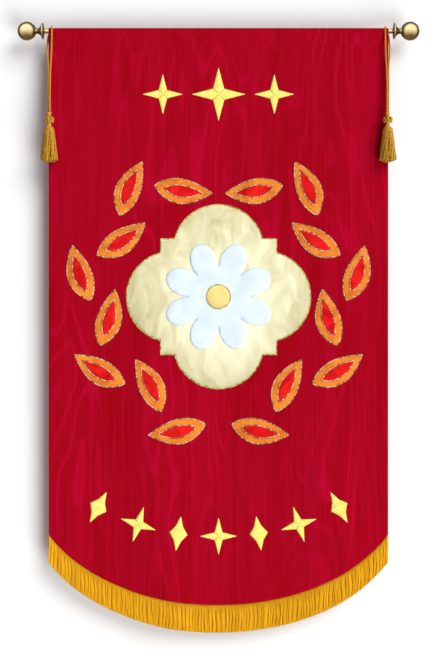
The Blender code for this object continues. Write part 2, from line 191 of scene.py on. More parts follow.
def smooth_line(points: Sequence[Vector], step: float, steps: int = 12) -> list[Vector]:
    """Draws a smooth line through a route's own points.

    Args:
        points: The route's points.
        step: About how far apart the line's points lie.
        steps: How many short runs are tried between two of the route's points.

    Returns:
        The line's points, evenly spaced.
    """
    ends = [2 * points[0] - points[1], *points, 2 * points[-1] - points[-2]]
    fine = []
    for a, b, c, d in zip(ends, ends[1:], ends[2:], ends[3:]):
        for part in range(steps):
            t = part / steps
            bend = (2 * a - 5 * b + 4 * c - d) * t**2 + (3 * b - a - 3 * c + d) * t**3
            fine.append((2 * b + (c - a) * t + bend) / 2)
    fine.append(points[-1])
    along = [0.0]
    for first, second in zip(fine, fine[1:]):
        along.append(along[-1] + (second - first).length)
    count = round(along[-1] / step)
    spaced = []
    place = 0
    for number in range(count + 1):
        target = along[-1] * number / count
        while place < len(fine) - 2 and along[place + 1] < target:
            place += 1
        share = (target - along[place]) / (along[place + 1] - along[place])
        spaced.append(fine[place].lerp(fine[place + 1], share))
    return spaced


def rings_along(
    line: np.ndarray, section: np.ndarray, twist: float = 0.0, scale: np.ndarray | None = None
) -> np.ndarray:
    """Sets a section along a line, without any turn but its own twist.

    Args:
        line: The line's points, one row each.
        section: The section's corners as (across, up).
        twist: How far it turns from one point to the next, in radians.
        scale: The section's size at each point, as a share.

    Returns:
        Rings, as an array of points by corners by 3.
    """
    ahead = np.gradient(line, axis=0)
    ahead /= np.linalg.norm(ahead, axis=1)[:, None]
    across = np.array((1.0, 0.0, 0.0))
    if abs(ahead[0] @ across) > 0.9:
        across = np.array((0.0, 1.0, 0.0))
    rings = np.empty((len(line), len(section), 3))
    for number, (point, way) in enumerate(zip(line, ahead)):
        across = across - way * (across @ way)
        across /= np.linalg.norm(across)
        other = np.cross(way, across)
        size = 1.0 if scale is None else scale[number]
        cosine, sine = math.cos(twist * number), math.sin(twist * number)
        right = (section[:, 0] * cosine - section[:, 1] * sine) * size
        up = (section[:, 0] * sine + section[:, 1] * cosine) * size
        rings[number] = point + right[:, None] * across + up[:, None] * other
    return rings


def round_section(radius: float, sides: int) -> np.ndarray:
    """Gives a round section."""
    angles = np.arange(sides) * TURN / sides
    return radius * np.stack((np.cos(angles), np.sin(angles)), axis=1)


def plied_section(radius: float, plies: int, corners: int) -> np.ndarray:
    """Gives the section of a twisted yarn, whose plies show as round lobes.

    Args:
        radius: The yarn's radius over its plies.
        plies: How many plies it has.
        corners: How many corners each ply shows.

    Returns:
        The section's corners.
    """
    offset = radius / (1 + 1.25 * math.sin(math.pi / plies))
    ply = radius - offset
    rows = []
    for number in range(plies * corners):
        angle = TURN * number / (plies * corners)
        within = (angle * plies / TURN % 1.0 - 0.5) * TURN / plies
        reach = offset * math.cos(within) + math.sqrt(max(0.0, ply**2 - (offset * math.sin(within)) ** 2))
        rows.append((reach * math.cos(angle), reach * math.sin(angle)))
    return np.array(rows)


def ply_shade(section: np.ndarray, groove: float = 0.25) -> np.ndarray:
    """Gives the painted shade of each corner of a twisted yarn: light on the plies, dark in the grooves."""
    reach = np.linalg.norm(section, axis=1)
    return between(groove, 1.0, (reach - reach.min()) / (reach.max() - reach.min()))


class Tree:
    """A node tree, with short calls for its nodes and links."""

    def __init__(self, tree: bpy.types.NodeTree) -> None:
        """Takes the tree that nodes are added to."""
        self.tree = tree

    def add(
        self, kind: str, inputs: dict[str | int, object] | None = None, **settings: object
    ) -> bpy.types.Node:
        """Adds a node.

        Args:
            kind: The node's type.
            inputs: A value or an output to link for each named or numbered input.
            settings: The node's own settings.

        Returns:
            The new node.
        """
        node = self.tree.nodes.new(kind)
        for name, value in settings.items():
            setattr(node, name, value)
        for name, value in (inputs or {}).items():
            if isinstance(value, bpy.types.NodeSocket):
                self.tree.links.new(value, node.inputs[name])
            else:
                node.inputs[name].default_value = value
        return node

    def maths(self, operation: str, *values: object) -> bpy.types.NodeSocket:
        """Gives the output of one sum."""
        return self.add("ShaderNodeMath", dict(enumerate(values)), operation=operation).outputs[0]

    def ranged(
        self, value: object, low: float, high: float, first: float = 0.0, last: float = 1.0
    ) -> bpy.types.NodeSocket:
        """Gives value moved from the range low to high into the range first to last, and held there."""
        return self.add("ShaderNodeMapRange", {0: value, 1: low, 2: high, 3: first, 4: last}).outputs[0]

    def mix(self, share: object, low: object, high: object) -> bpy.types.NodeSocket:
        """Gives the mix of two colours."""
        inputs = {0: share, 6: coloured(low), 7: coloured(high)}
        return self.add("ShaderNodeMix", inputs, data_type="RGBA").outputs[2]

    def place(self) -> bpy.types.NodeSocket:
        """Gives the place on the object, in metres."""
        return self.add("ShaderNodeTexCoord").outputs["Object"]

    def stretched(self, place: object, scale: tuple[float, float, float]) -> bpy.types.NodeSocket:
        """Gives a place scaled along each axis."""
        return self.add("ShaderNodeVectorMath", {0: place, 1: scale}, operation="MULTIPLY").outputs[0]

    def noise(
        self, place: object, scale: object, detail: float = 2.0, distortion: float = 0.0
    ) -> bpy.types.NodeSocket:
        """Gives a soft random value at the place."""
        inputs = {"Vector": place, "Scale": scale, "Detail": detail, "Distortion": distortion}
        return self.add("ShaderNodeTexNoise", inputs).outputs["Fac"]

    def shade(self) -> bpy.types.NodeSocket:
        """Gives the shade that the mesh holds: its own tone together with painted shade and highlights."""
        return self.add("ShaderNodeAttribute", attribute_name="shade").outputs["Fac"]

    def bump(
        self, height: object, distance: float, strength: float = 1.0, under: object = None
    ) -> bpy.types.NodeSocket:
        """Gives the normal of a relief."""
        inputs = {"Height": height, "Distance": distance, "Strength": strength}
        if under is not None:
            inputs["Normal"] = under
        return self.add("ShaderNodeBump", inputs).outputs["Normal"]

    def group(self, group: bpy.types.NodeTree, inputs: dict[str, object]) -> bpy.types.Node:
        """Places a node group."""
        node = self.add("ShaderNodeGroup", node_tree=group)
        for name, value in inputs.items():
            if isinstance(value, bpy.types.NodeSocket):
                self.tree.links.new(value, node.inputs[name])
            else:
                node.inputs[name].default_value = value
        return node

    def woven(self, place: object, warp: float, weft: float, unevenness: float) -> bpy.types.bpy_prop_collection:
        """Places the plain weave.

        Args:
            place: Where on the cloth it is read.
            warp: How many threads run up it in each metre.
            weft: How many threads cross them in each metre.
            unevenness: How far the cross threads wander.

        Returns:
            The weave's outputs.
        """
        values = {"Place": place, "Warp": warp, "Weft": weft, "Unevenness": unevenness}
        return self.group(weave_group(), values).outputs


def coloured(value: object) -> object:
    """Gives a colour of three numbers as four, and leaves all else as it is."""
    return (*value, 1.0) if isinstance(value, tuple) and len(value) == 3 else value


def new_group(
    name: str, inputs: dict[str, str], outputs: dict[str, str]
) -> tuple[bpy.types.NodeTree, Tree, dict, dict]:
    """Starts a shader node group.

    Args:
        name: The group's name.
        inputs: The kind of each named input.
        outputs: The kind of each named output.

    Returns:
        The group, its tree, its inputs to read, and its outputs to fill.
    """
    group = bpy.data.node_groups.new(name, "ShaderNodeTree")
    for way, sockets in (("INPUT", inputs), ("OUTPUT", outputs)):
        for label, kind in sockets.items():
            group.interface.new_socket(label, in_out=way, socket_type=f"NodeSocket{kind}")
    tree = Tree(group)
    return group, tree, tree.add("NodeGroupInput").outputs, tree.add("NodeGroupOutput").inputs


def weave_group() -> bpy.types.NodeTree:
    """Builds the plain weave once: threads up and across that pass over each other.

    Returns:
        The group, which puts out the weave's height and a tone that wanders from thread to thread.
    """
    if "plain weave" in bpy.data.node_groups:
        return bpy.data.node_groups["plain weave"]
    group, tree, given, out = new_group(
        "plain weave",
        {"Place": "Vector", "Warp": "Float", "Weft": "Float", "Unevenness": "Float"},
        {"Height": "Float", "Tone": "Float"},
    )
    split = tree.add("ShaderNodeSeparateXYZ", {0: given["Place"]}).outputs
    wander = tree.noise(given["Place"], 60.0, 2.0)
    across = tree.maths("MULTIPLY", tree.maths("MULTIPLY", split["X"], given["Warp"]), TURN / 2)
    along = tree.maths("MULTIPLY", tree.maths("MULTIPLY", split["Z"], given["Weft"]), TURN / 2)
    along = tree.maths("MULTIPLY_ADD", wander, given["Unevenness"], along)
    warp = tree.maths("ABSOLUTE", tree.maths("SINE", across))
    weft = tree.maths("ABSOLUTE", tree.maths("SINE", along))
    over = tree.maths("MULTIPLY", tree.maths("SINE", across), tree.maths("SINE", along))
    side = tree.ranged(over, -0.25, 0.25)
    height = tree.add("ShaderNodeMix", {0: side, 2: warp, 3: weft}, data_type="FLOAT").outputs[0]
    tree.tree.links.new(height, out["Height"])
    threads = tree.noise(tree.stretched(given["Place"], (1.0, 1.0, 0.02)), 1400.0, 1.0)
    rows = tree.noise(tree.stretched(given["Place"], (0.02, 0.02, 1.0)), 1400.0, 1.0)
    tone = tree.maths("MULTIPLY", tree.maths("ADD", threads, rows), 0.5)
    tree.tree.links.new(tone, out["Tone"])
    return group


def fibre_group() -> bpy.types.NodeTree:
    """Builds the fine fibres of a yarn once.

    Returns:
        The group, which puts out the fibres' height, a mask of painted glints and a slow change of tone.
    """
    if "yarn fibre" in bpy.data.node_groups:
        return bpy.data.node_groups["yarn fibre"]
    group, tree, given, out = new_group(
        "yarn fibre",
        {"Place": "Vector", "Fineness": "Float", "Painted Glint": "Float"},
        {"Height": "Float", "Painted Glint": "Float", "Tone": "Float"},
    )
    drawn = tree.stretched(given["Place"], (1.0, 1.0, 0.35))
    fine = tree.noise(drawn, given["Fineness"], 3.0, 0.6)
    tree.tree.links.new(fine, out["Height"])
    coarser = tree.maths("MULTIPLY", given["Fineness"], 0.6)
    # painted glints: bright flecks of colour that stand for light caught by single fibres
    painted_glint = tree.ranged(tree.noise(given["Place"], coarser, 2.0), 0.56, 0.72)
    tree.tree.links.new(tree.maths("MULTIPLY", painted_glint, given["Painted Glint"]), out["Painted Glint"])
    tree.tree.links.new(tree.noise(given["Place"], 45.0, 2.0), out["Tone"])
    return group


@dataclass(frozen=True)
class Finish:
    """A finish, with the name of the slot that it belongs to."""

    name: str
    slot: str

    def material(self) -> bpy.types.Material:
        """Gives the material, and makes it the first time.

        Returns:
            The material.
        """
        made = bpy.data.materials.get(self.name)
        if made is None:
            made = bpy.data.materials.new(self.name)
            made.use_nodes = True
            self.dress(Tree(made.node_tree), made.node_tree.nodes["Principled BSDF"])
        return made

    def dress(self, tree: Tree, shader: bpy.types.Node) -> None:
        """Adds the nodes; each kind of finish has its own."""
        raise NotImplementedError

    def fill(self, tree: Tree, shader: bpy.types.Node, **inputs: object) -> None:
        """Sets the shader's inputs, whose names are written with low lines."""
        for label, value in inputs.items():
            socket = shader.inputs[label.replace("_", " ")]
            if isinstance(value, bpy.types.NodeSocket):
                tree.tree.links.new(value, socket)
            else:
                socket.default_value = coloured(value)


@dataclass(frozen=True)
class WateredCloth(Finish):
    """Red moire: fine cross ribs, long streaks and flame figures where the ribs were pressed."""

    dark: tuple[float, float, float] = (0.290, 0.0014, 0.0034)
    light: tuple[float, float, float] = (0.455, 0.0026, 0.0265)
    warp: float = 1900.0
    weft: float = 1250.0
    unevenness: float = 2.5
    figure_rings: float = 74.0
    figure_share: float = 0.36
    streak_share: float = 0.38
    broad_share: float = 0.26
    thread_share: float = 0.20

    def dress(self, tree: Tree, shader: bpy.types.Node) -> None:
        """Adds the nodes."""
        place = tree.place()
        slow = tree.noise(tree.stretched(place, (1.0, 1.0, 0.16)), 7.5, 1.5, 0.5)
        rings = tree.maths("SINE", tree.maths("MULTIPLY", slow, self.figure_rings))
        figures = tree.ranged(rings, 0.40, 1.0)
        where = tree.ranged(tree.noise(tree.stretched(place, (1.0, 1.0, 0.3)), 5.0, 1.0), 0.38, 0.62)
        figures = tree.maths("MULTIPLY", figures, where)
        streaks = tree.noise(tree.stretched(place, (1.0, 1.0, 0.014)), 250.0, 3.0)
        streaks = tree.ranged(streaks, 0.30, 0.70)
        broad = tree.ranged(tree.noise(tree.stretched(place, (1.0, 1.0, 0.10)), 14.0, 2.0), 0.32, 0.68)
        weave = tree.woven(place, self.warp, self.weft, self.unevenness)
        tone = tree.maths("MULTIPLY", streaks, self.streak_share)
        tone = tree.maths("MULTIPLY_ADD", figures, self.figure_share, tone)
        tone = tree.maths("MULTIPLY_ADD", broad, self.broad_share, tone)
        tone = tree.maths("MULTIPLY_ADD", weave["Tone"], self.thread_share, tone)
        tone = tree.ranged(tone, 0.14, 0.90)
        self.fill(
            tree,
            shader,
            Base_Color=tree.mix(tone, self.dark, self.light),
            Roughness=tree.ranged(tone, 0.0, 1.0, 0.78, 0.58),
            Normal=tree.bump(weave["Height"], 0.00012, 0.5),
            Specular_IOR_Level=0.16,
            Specular_Tint=(1.0, 0.03, 0.10),
        )


@dataclass(frozen=True)
class Satin(Finish):
    """Smooth satin, with a soft gloss and faint lighter and darker patches at random."""

    light: tuple[float, float, float] = (0.80, 0.89, 1.0)
    deep: tuple[float, float, float] = (0.60, 0.75, 0.92)
    mottle: float = 0.5
    gloss: float = 0.42
    warp: float = 3200.0
    weft: float = 900.0
    unevenness: float = 1.0
    thread_share: float = 0.2

    def dress(self, tree: Tree, shader: bpy.types.Node) -> None:
        """Adds the nodes."""
        place = tree.place()
        weave = tree.woven(place, self.warp, self.weft, self.unevenness)
        soft = tree.ranged(tree.noise(place, 22.0, 3.0, 0.8), 0.34, 0.70)
        tone = tree.maths("MULTIPLY", weave["Tone"], self.thread_share)
        tone = tree.maths("MULTIPLY_ADD", soft, self.mottle, tone)
        self.fill(
            tree,
            shader,
            Base_Color=tree.mix(tone, self.light, self.deep),
            Roughness=tree.ranged(soft, 0.0, 1.0, self.gloss, self.gloss + 0.14),
            Normal=tree.bump(weave["Height"], 0.00005, 0.35),
            Specular_IOR_Level=0.30,
            Specular_Tint=self.light,
        )


@dataclass(frozen=True)
class Lame(Finish):
    """Pale gold lame, with flat metal threads in a soft ground, creased here and there.

    Its colour holds a painted sheen that is lightest near the design's middle, painted shade in the creases
    and painted glints.
    """

    light: tuple[float, float, float] = (1.0, 1.0, 0.76)
    deep: tuple[float, float, float] = (0.38, 0.33, 0.09)
    # painted sheen: the lame is painted lightest round this place and darker out to about reach from it
    painted_sheen_centre: tuple[float, float, float] = (0.030, 0.0, -0.740)
    reach: float = 0.27
    warp: float = 2400.0
    weft: float = 1600.0
    unevenness: float = 1.5
    thread_share: float = 0.20
    crease_shade_share: float = 0.30
    painted_sheen_share: float = 0.56
    flash_share: float = 0.35
    flash: tuple[float, float, float] = (1.0, 0.98, 0.80)

    def dress(self, tree: Tree, shader: bpy.types.Node) -> None:
        """Adds the nodes."""
        place = tree.place()
        weave = tree.woven(place, self.warp, self.weft, self.unevenness)
        creases = tree.noise(tree.stretched(place, (1.0, 1.0, 0.55)), 19.0, 3.0, 1.6)
        drawn = tree.ranged(creases, 0.30, 0.72)
        # painted glints: fine specks painted toward the pale flash colour
        flash = tree.ranged(tree.noise(place, 900.0, 1.0), 0.60, 0.74)
        # painted sheen: lighter near its centre, darker towards the quatrefoil's edges
        painted_sheen_falloff = tree.add("ShaderNodeVectorMath", {0: place, 1: self.painted_sheen_centre}, operation="DISTANCE")
        painted_sheen_falloff = tree.maths("MULTIPLY_ADD", tree.noise(place, 7.0, 2.0), 0.10, painted_sheen_falloff.outputs["Value"])
        painted_sheen_falloff = tree.ranged(painted_sheen_falloff, 0.35 * self.reach, 1.15 * self.reach)
        # painted shade: the tone is deeper in the creases
        tone = tree.maths("MULTIPLY", drawn, self.crease_shade_share)
        tone = tree.maths("MULTIPLY_ADD", weave["Tone"], self.thread_share, tone)
        tone = tree.maths("MULTIPLY_ADD", painted_sheen_falloff, self.painted_sheen_share, tone)
        tone = tree.ranged(tone, 0.20, 1.12)
        base = tree.mix(tone, self.light, self.deep)
        base = tree.mix(tree.maths("MULTIPLY", flash, self.flash_share), base, self.flash)
        relief = tree.bump(creases, 0.004, 0.45)
        self.fill(
            tree,
            shader,
            Base_Color=base,
            Metallic=0.60,
            Roughness=tree.ranged(creases, 0.3, 0.7, 0.36, 0.50),
            Normal=tree.bump(weave["Height"], 0.00006, 0.4, relief),
            Specular_IOR_Level=0.5,
        )


@dataclass(frozen=True)
class Yarn(Finish):
    """Shiny rayon yarn, with painted highlights where a thread stands out and painted shade in its twist."""

    light: tuple[float, float, float] = (1.0, 0.545, 0.010)
    deep: tuple[float, float, float] = (0.54, 0.18, 0.002)
    glint: tuple[float, float, float] = (1.0, 0.77, 0.22)
    gloss: float = 0.42
    fineness: float = 900.0
    painted_glint: float = 0.5

    def dress(self, tree: Tree, shader: bpy.types.Node) -> None:
        """Adds the nodes."""
        values = {"Place": tree.place(), "Fineness": self.fineness, "Painted Glint": self.painted_glint}
        fibre = tree.group(fibre_group(), values).outputs
        # the mesh's shade brings the painted shade and highlights; the glint colour is painted in as glints
        tone = tree.maths("MULTIPLY_ADD", fibre["Tone"], 0.25, tree.maths("MULTIPLY", tree.shade(), 0.85))
        base = tree.mix(tree.ranged(tone, 0.05, 0.95), self.deep, self.light)
        base = tree.mix(fibre["Painted Glint"], base, self.glint)
        self.fill(
            tree,
            shader,
            Base_Color=base,
            Roughness=tree.ranged(fibre["Height"], 0.3, 0.7, self.gloss, self.gloss + 0.2),
            Normal=tree.bump(fibre["Height"], 0.00018, 0.5),
            Specular_IOR_Level=0.20,
            Specular_Tint=self.glint,
        )


@dataclass(frozen=True)
class MetalThread(Finish):
    """Twisted metallic edging thread, with painted glitter between pale gold and brown."""

    light: tuple[float, float, float] = (0.98, 0.88, 0.52)
    deep: tuple[float, float, float] = (0.26, 0.16, 0.04)

    def dress(self, tree: Tree, shader: bpy.types.Node) -> None:
        """Adds the nodes."""
        fibre = tree.group(fibre_group(), {"Place": tree.place(), "Fineness": 1500.0, "Painted Glint": 0.6}).outputs
        # painted glitter: the mesh's shade paints each run of stitches light or dark, and painted glints are
        # mixed in
        base = tree.mix(tree.ranged(tree.shade(), 0.15, 0.75), self.deep, self.light)
        self.fill(
            tree,
            shader,
            Base_Color=tree.mix(fibre["Painted Glint"], base, (1.0, 1.0, 0.86)),
            Metallic=0.55,
            Roughness=tree.ranged(fibre["Height"], 0.3, 0.7, 0.25, 0.45),
            Normal=tree.bump(fibre["Height"], 0.0001, 0.4),
            Specular_IOR_Level=0.6,
        )


@dataclass(frozen=True)
class AntiqueBrass(Finish):
    """Polished antique brass, faintly brushed round its axis, with brown patina and painted shade in its
    hollows.
    """

    bright: tuple[float, float, float] = (0.74, 0.60, 0.33)
    brown: tuple[float, float, float] = (0.13, 0.06, 0.018)
    stain_share: float = 0.16
    hollow_patina_and_shade_share: float = 0.85

    def dress(self, tree: Tree, shader: bpy.types.Node) -> None:
        """Adds the nodes."""
        place = tree.place()
        brushed = tree.noise(tree.stretched(place, (9.0, 0.7, 0.7)), 240.0, 3.0)
        stain = tree.ranged(tree.noise(place, 60.0, 4.0), 0.45, 0.75)
        # the mesh's shade marks the hollows, the neck and the collar's inner face: their brown is patina
        # together with painted shade
        hollow = tree.maths("SUBTRACT", 1.0, tree.shade())
        patina_and_shade = tree.maths("MULTIPLY", hollow, self.hollow_patina_and_shade_share)
        patina_and_shade = tree.maths("MULTIPLY_ADD", stain, self.stain_share, patina_and_shade)
        self.fill(
            tree,
            shader,
            Base_Color=tree.mix(patina_and_shade, self.bright, self.brown),
            Metallic=1.0,
            Roughness=tree.ranged(tree.maths("MULTIPLY_ADD", patina_and_shade, 0.4, brushed), 0.3, 1.0, 0.24, 0.42),
            Normal=tree.bump(brushed, 0.00004, 0.25),
        )


class Finishes(Enum):
    """The banner's finishes."""

    RED_CLOTH = WateredCloth("watered red cloth", "red_cloth")
    RED_THREAD = Yarn(
        "red sewing thread",
        "red_cloth",
        light=(0.46, 0.004, 0.018),
        deep=(0.16, 0.001, 0.004),
        glint=(0.6, 0.05, 0.06),
        gloss=0.5,
        fineness=2500.0,
        painted_glint=0.2,
    )
    FRINGE = Yarn("golden fringe yarn", "fringe_gold")
    CORD = Yarn(
        "old gold cord yarn",
        "cord_gold",
        light=(0.76, 0.32, 0.032),
        deep=(0.18, 0.055, 0.003),
        glint=(1.0, 0.70, 0.24),
    )
    TASSEL = Yarn(
        "old gold tassel yarn",
        "tassel_gold",
        light=(0.82, 0.43, 0.040),
        deep=(0.15, 0.052, 0.002),
        glint=(1.0, 0.80, 0.30),
    )
    BRASS = AntiqueBrass("antique brass polish", "brass")
    LAME = Lame("pale gold lame cloth", "gold_lame")
    EYE_LAME = Lame("deep gold lame cloth", "gold_lame", (0.86, 0.72, 0.27), (0.42, 0.31, 0.07))
    LAME_EDGE = MetalThread("yellow metal edging", "gold_lame", (1.0, 0.88, 0.20), (0.42, 0.33, 0.04))
    WHITE = Satin("cool white satin", "white_satin")
    ORANGE = Satin(
        "soft orange satin",
        "orange_satin",
        light=(0.98, 0.30, 0.039),
        deep=(0.62, 0.128, 0.012),
        mottle=0.8,
        gloss=0.46,
    )
    ORANGE_EDGE = MetalThread("gold metal edging", "orange_satin")
    SCARLET = Satin(
        "mottled scarlet satin",
        "scarlet_satin",
        light=(0.88, 0.018, 0.017),
        deep=(0.50, 0.004, 0.006),
        mottle=0.9,
        gloss=0.46,
    )
    SCARLET_EDGE = MetalThread("thin gold metal edging", "scarlet_satin")
    STITCH = Yarn(
        "pale yellow satin stitch",
        "yellow_stitch",
        light=(1.0, 0.98, 0.29),
        deep=(0.78, 0.57, 0.080),
        glint=(1.0, 1.0, 0.60),
        gloss=0.36,
        fineness=1200.0,
        painted_glint=0.35,
    )


@dataclass(frozen=True)
class HangingCloth:
    """The shape in which the red cloth hangs, which all that is sewn to it follows."""

    width: float = 0.914
    length: float = 1.5455
    thickness: float = 0.0015
    pocket_depth: float = 0.062
    hem_half_axis: float = 0.5115
    hem_depth: float = 0.3446
    swells: tuple[tuple[float, float, float], ...] = ((0.0034, 0.410, 0.6), (0.0014, 0.236, 2.1))
    ripple: float = 0.00060
    ripple_length: float = 0.094
    ripple_onset: float = 5.0
    pucker_onset: float = 9.0
    puckers: tuple[tuple[float, float, float, float], ...] = (
        (0.00026, 71.0, 23.0, 0.4),
        (0.00020, -48.0, 61.0, 1.9),
        (0.00016, 118.0, 37.0, 4.2),
        (0.00012, -93.0, 112.0, 0.9),
    )

    def hem(self, x: np.ndarray | float) -> np.ndarray:
        """Gives the height of the curved foot at x."""
        return -self.length + self.hem_depth * (1 - np.sqrt(1 - (np.asarray(x) / self.hem_half_axis) ** 2))

    def fall(self, x: np.ndarray | float, z: np.ndarray | float) -> np.ndarray:
        """Gives the y of the cloth's middle.

        Args:
            x: Places along the rod.
            z: Heights.

        Returns:
            The y of each place.
        """
        x, z = np.asarray(x, dtype=float), np.asarray(z, dtype=float)
        depth = np.clip((-z - self.pocket_depth) / (self.length - self.pocket_depth), 0.0, None)
        swell = sum(height * np.sin(TURN * x / length + phase) for height, length, phase in self.swells)
        wander = 1.1 * np.sin(2.3 * z + 0.7) + 0.5 * np.sin(5.9 * z + 9.0 * x)
        ripple = self.ripple * np.sin(TURN * x / self.ripple_length + wander) * eased(depth * self.ripple_onset)
        bent = 1.4 * np.sin(9.0 * z)
        pucker = sum(height * np.sin(a * x + b * z + phase + bent) for height, a, b, phase in self.puckers)
        return depth * swell + ripple + pucker * eased(depth * self.pucker_onset)

    def front(self, x: np.ndarray | float, z: np.ndarray | float) -> np.ndarray:
        """Gives the y of the cloth's front face."""
        return self.fall(x, z) - self.thickness / 2


@dataclass
class Panel:
    """The red cloth, from the flap sewn down behind, over the rod, to the curved foot."""

    cloth: HangingCloth
    rod_radius: float = 0.0065
    clear: float = 0.0003
    seam_width: float = 0.005
    columns: int = 148
    rows: int = 180
    arc_steps: int = 18
    pocket_steps: int = 7
    rim: float = 0.0007
    rim_share: float = 0.45
    flap_behind: float = 1.03
    seam_behind: float = 1.54
    seam_margin: float = 0.003
    flat: tuple[float, float] = (0.914, 1.637)
    area: float = 1.447

    def build(self) -> bpy.types.Object:
        """Builds the cloth and its seam.

        Returns:
            The cloth.
        """
        half = self.cloth.width / 2
        inner = np.linspace(-half, half, self.columns + 1)[1:-1]
        places = np.concatenate(([-half, -half + self.rim], inner, [half - self.rim, half]))
        line, outward = self.section(places)
        slim = np.ones(line.shape[:2])
        slim[[0, -1], :] = self.rim_share
        slim[:, [0, -1]] = self.rim_share
        reach = outward * (self.cloth.thickness / 2 * slim)[..., None]
        shell = Shell()
        front, back = line + reach, line - reach
        count, rows = line.shape[:2]
        corners = np.concatenate((front.reshape(-1, 3), back.reshape(-1, 3)))
        shell.add(corners, self.faces(count, rows))
        panel = shell.piece("hung_cloth", Finishes.RED_CLOTH.value, ["panel"])
        self.sew_pocket()
        return panel

    def section(self, places: np.ndarray) -> tuple[np.ndarray, np.ndarray]:
        """Lays the cloth's middle line from the flap's edge to the foot, in each column.

        Args:
            places: The x of each column.

        Returns:
            Points and outward directions, as arrays of columns by rows by 3.
        """
        cloth = self.cloth
        radius = self.rod_radius + self.clear + cloth.thickness / 2
        touch = math.acos(radius / cloth.pocket_depth)
        angles = np.linspace(touch - math.pi / 2, 2 * math.pi - touch - math.pi / 2, self.arc_steps + 1)
        over = np.stack((radius * np.cos(angles), radius * np.sin(angles)), axis=1)
        behind = cloth.thickness * self.flap_behind
        foot = np.array((behind, -cloth.pocket_depth))
        rise = np.linspace(0, 1, self.pocket_steps, endpoint=False)[:, None]
        up = foot + (over[0] - foot) * rise
        seam = np.array((0.0, -cloth.pocket_depth))
        down = over[-1] + (seam - over[-1]) * (rise + 1 / self.pocket_steps)
        below = [cloth.pocket_depth + self.seam_width * share for share in (1.0, 0.86, 0.45)]
        flap = np.array([(behind, -height) for height in below])
        top = np.concatenate((flap, up, over, down))
        shares = np.linspace(0, 1, self.rows + 1)[1:]
        rim_share = self.rim / cloth.length
        shares = np.concatenate((shares[:-1], [1 - rim_share, 1]))
        line = np.empty((len(places), len(top) + len(shares), 3))
        for number, x in enumerate(places):
            low = -cloth.pocket_depth + (float(cloth.hem(x)) + cloth.pocket_depth) * shares
            line[number, :, 0] = x
            line[number, : len(top), 1:] = top
            line[number, : len(flap), 1] += cloth.fall(x, top[: len(flap), 1])
            line[number, len(top) :, 1] = cloth.fall(x, low)
            line[number, len(top) :, 2] = low
        way = np.gradient(line, axis=1)
        outward = np.stack((np.zeros_like(way[..., 0]), way[..., 2], -way[..., 1]), axis=-1)
        outward /= np.linalg.norm(outward, axis=-1)[..., None]
        return line, outward

    def faces(self, count: int, rows: int) -> list[tuple[int, int, int, int]]:
        """Lists the faces of the cloth's two sides and of its rim.

        Args:
            count: How many columns there are.
            rows: How many rows a column has.

        Returns:
            The faces as rows of places.
        """
        other = count * rows
        faces = []
        for column in range(count - 1):
            for row in range(rows - 1):
                a, b = column * rows + row, (column + 1) * rows + row
                faces.append((a, b, b + 1, a + 1))
                faces.append((other + a, other + a + 1, other + b + 1, other + b))
        for column in range(count - 1):
            for row in (0, rows - 1):
                a, b = column * rows + row, (column + 1) * rows + row
                faces.append((a, b, other + b, other + a))
        for row in range(rows - 1):
            for column in (0, count - 1):
                a = column * rows + row
                faces.append((a, a + 1, other + a + 1, other + a))
        return faces

    def sew_pocket(self, pitch: float = 0.0032, stitch: float = 0.0025, radius: float = 0.00022) -> None:
        """Sews the pocket's seam, whose stitches show on both faces.

        Args:
            pitch: From one stitch to the next.
            stitch: A stitch's length.
            radius: The thread's radius.
        """
        shell = Shell()
        cloth = self.cloth
        height = -cloth.pocket_depth - self.seam_width / 2
        section = round_section(radius, 5)
        shares = np.linspace(0, 1, 4)
        for number in range(int((cloth.width - 2 * self.seam_margin) / pitch)):
            x = -cloth.width / 2 + self.seam_margin + pitch * number + stitch * shares
            behind = cloth.fall(x, height) + cloth.thickness * self.seam_behind
            for face, lift in ((behind, 1), (cloth.front(x, height), -1)):
                y = face + lift * radius * np.array((-1.2, 0.6, 0.6, -1.2))
                line = np.stack((x, y, np.full(len(shares), height)), axis=1)
                shell.add_loft(rings_along(line, section))
        shell.piece("pocket_seam", Finishes.RED_THREAD.value)


def inside_distance(points: np.ndarray, outline: np.ndarray) -> np.ndarray:
    """Measures how far points lie from an outline.

    Args:
        points: Places as (x, z).
        outline: The outline's corners in order, as (x, z).

    Returns:
        The distance of each point.
    """
    start = outline
    run = np.roll(outline, -1, axis=0) - start
    square = np.maximum((run**2).sum(axis=1), 1e-12)
    nearest = np.full(len(points), np.inf)
    for a, way, size in zip(start, run, square):
        share = np.clip(((points - a) @ way) / size, 0, 1)
        gap = points - (a + share[:, None] * way)
        nearest = np.minimum(nearest, (gap**2).sum(axis=1))
    return np.sqrt(nearest)


def walk(outline: np.ndarray, pitch: float) -> tuple[np.ndarray, np.ndarray]:
    """Walks round an outline in even steps.

    Args:
        outline: The outline's corners in order, as (x, z).
        pitch: About how long a step is.

    Returns:
        The places, and the unit direction of travel at each.
    """
    closed = np.concatenate((outline, outline[:1]))
    runs = np.linalg.norm(np.diff(closed, axis=0), axis=1)
    along = np.concatenate(([0.0], np.cumsum(runs)))
    count = max(8, round(along[-1] / pitch))
    targets = np.arange(count) * along[-1] / count
    places = np.stack([np.interp(targets, along, closed[:, axis]) for axis in (0, 1)], axis=1)
    ways = np.roll(places, -1, axis=0) - np.roll(places, 1, axis=0)
    return places, ways / np.linalg.norm(ways, axis=1)[:, None]


@dataclass(frozen=True)
class Layer:
    """How a cut piece sits: the sheets under it and their height, its soft middle, and its creases."""

    below: int = 0
    raised: float = 0.0
    puff: float = 0.0
    reach: float = 0.01
    crease: float = 0.0


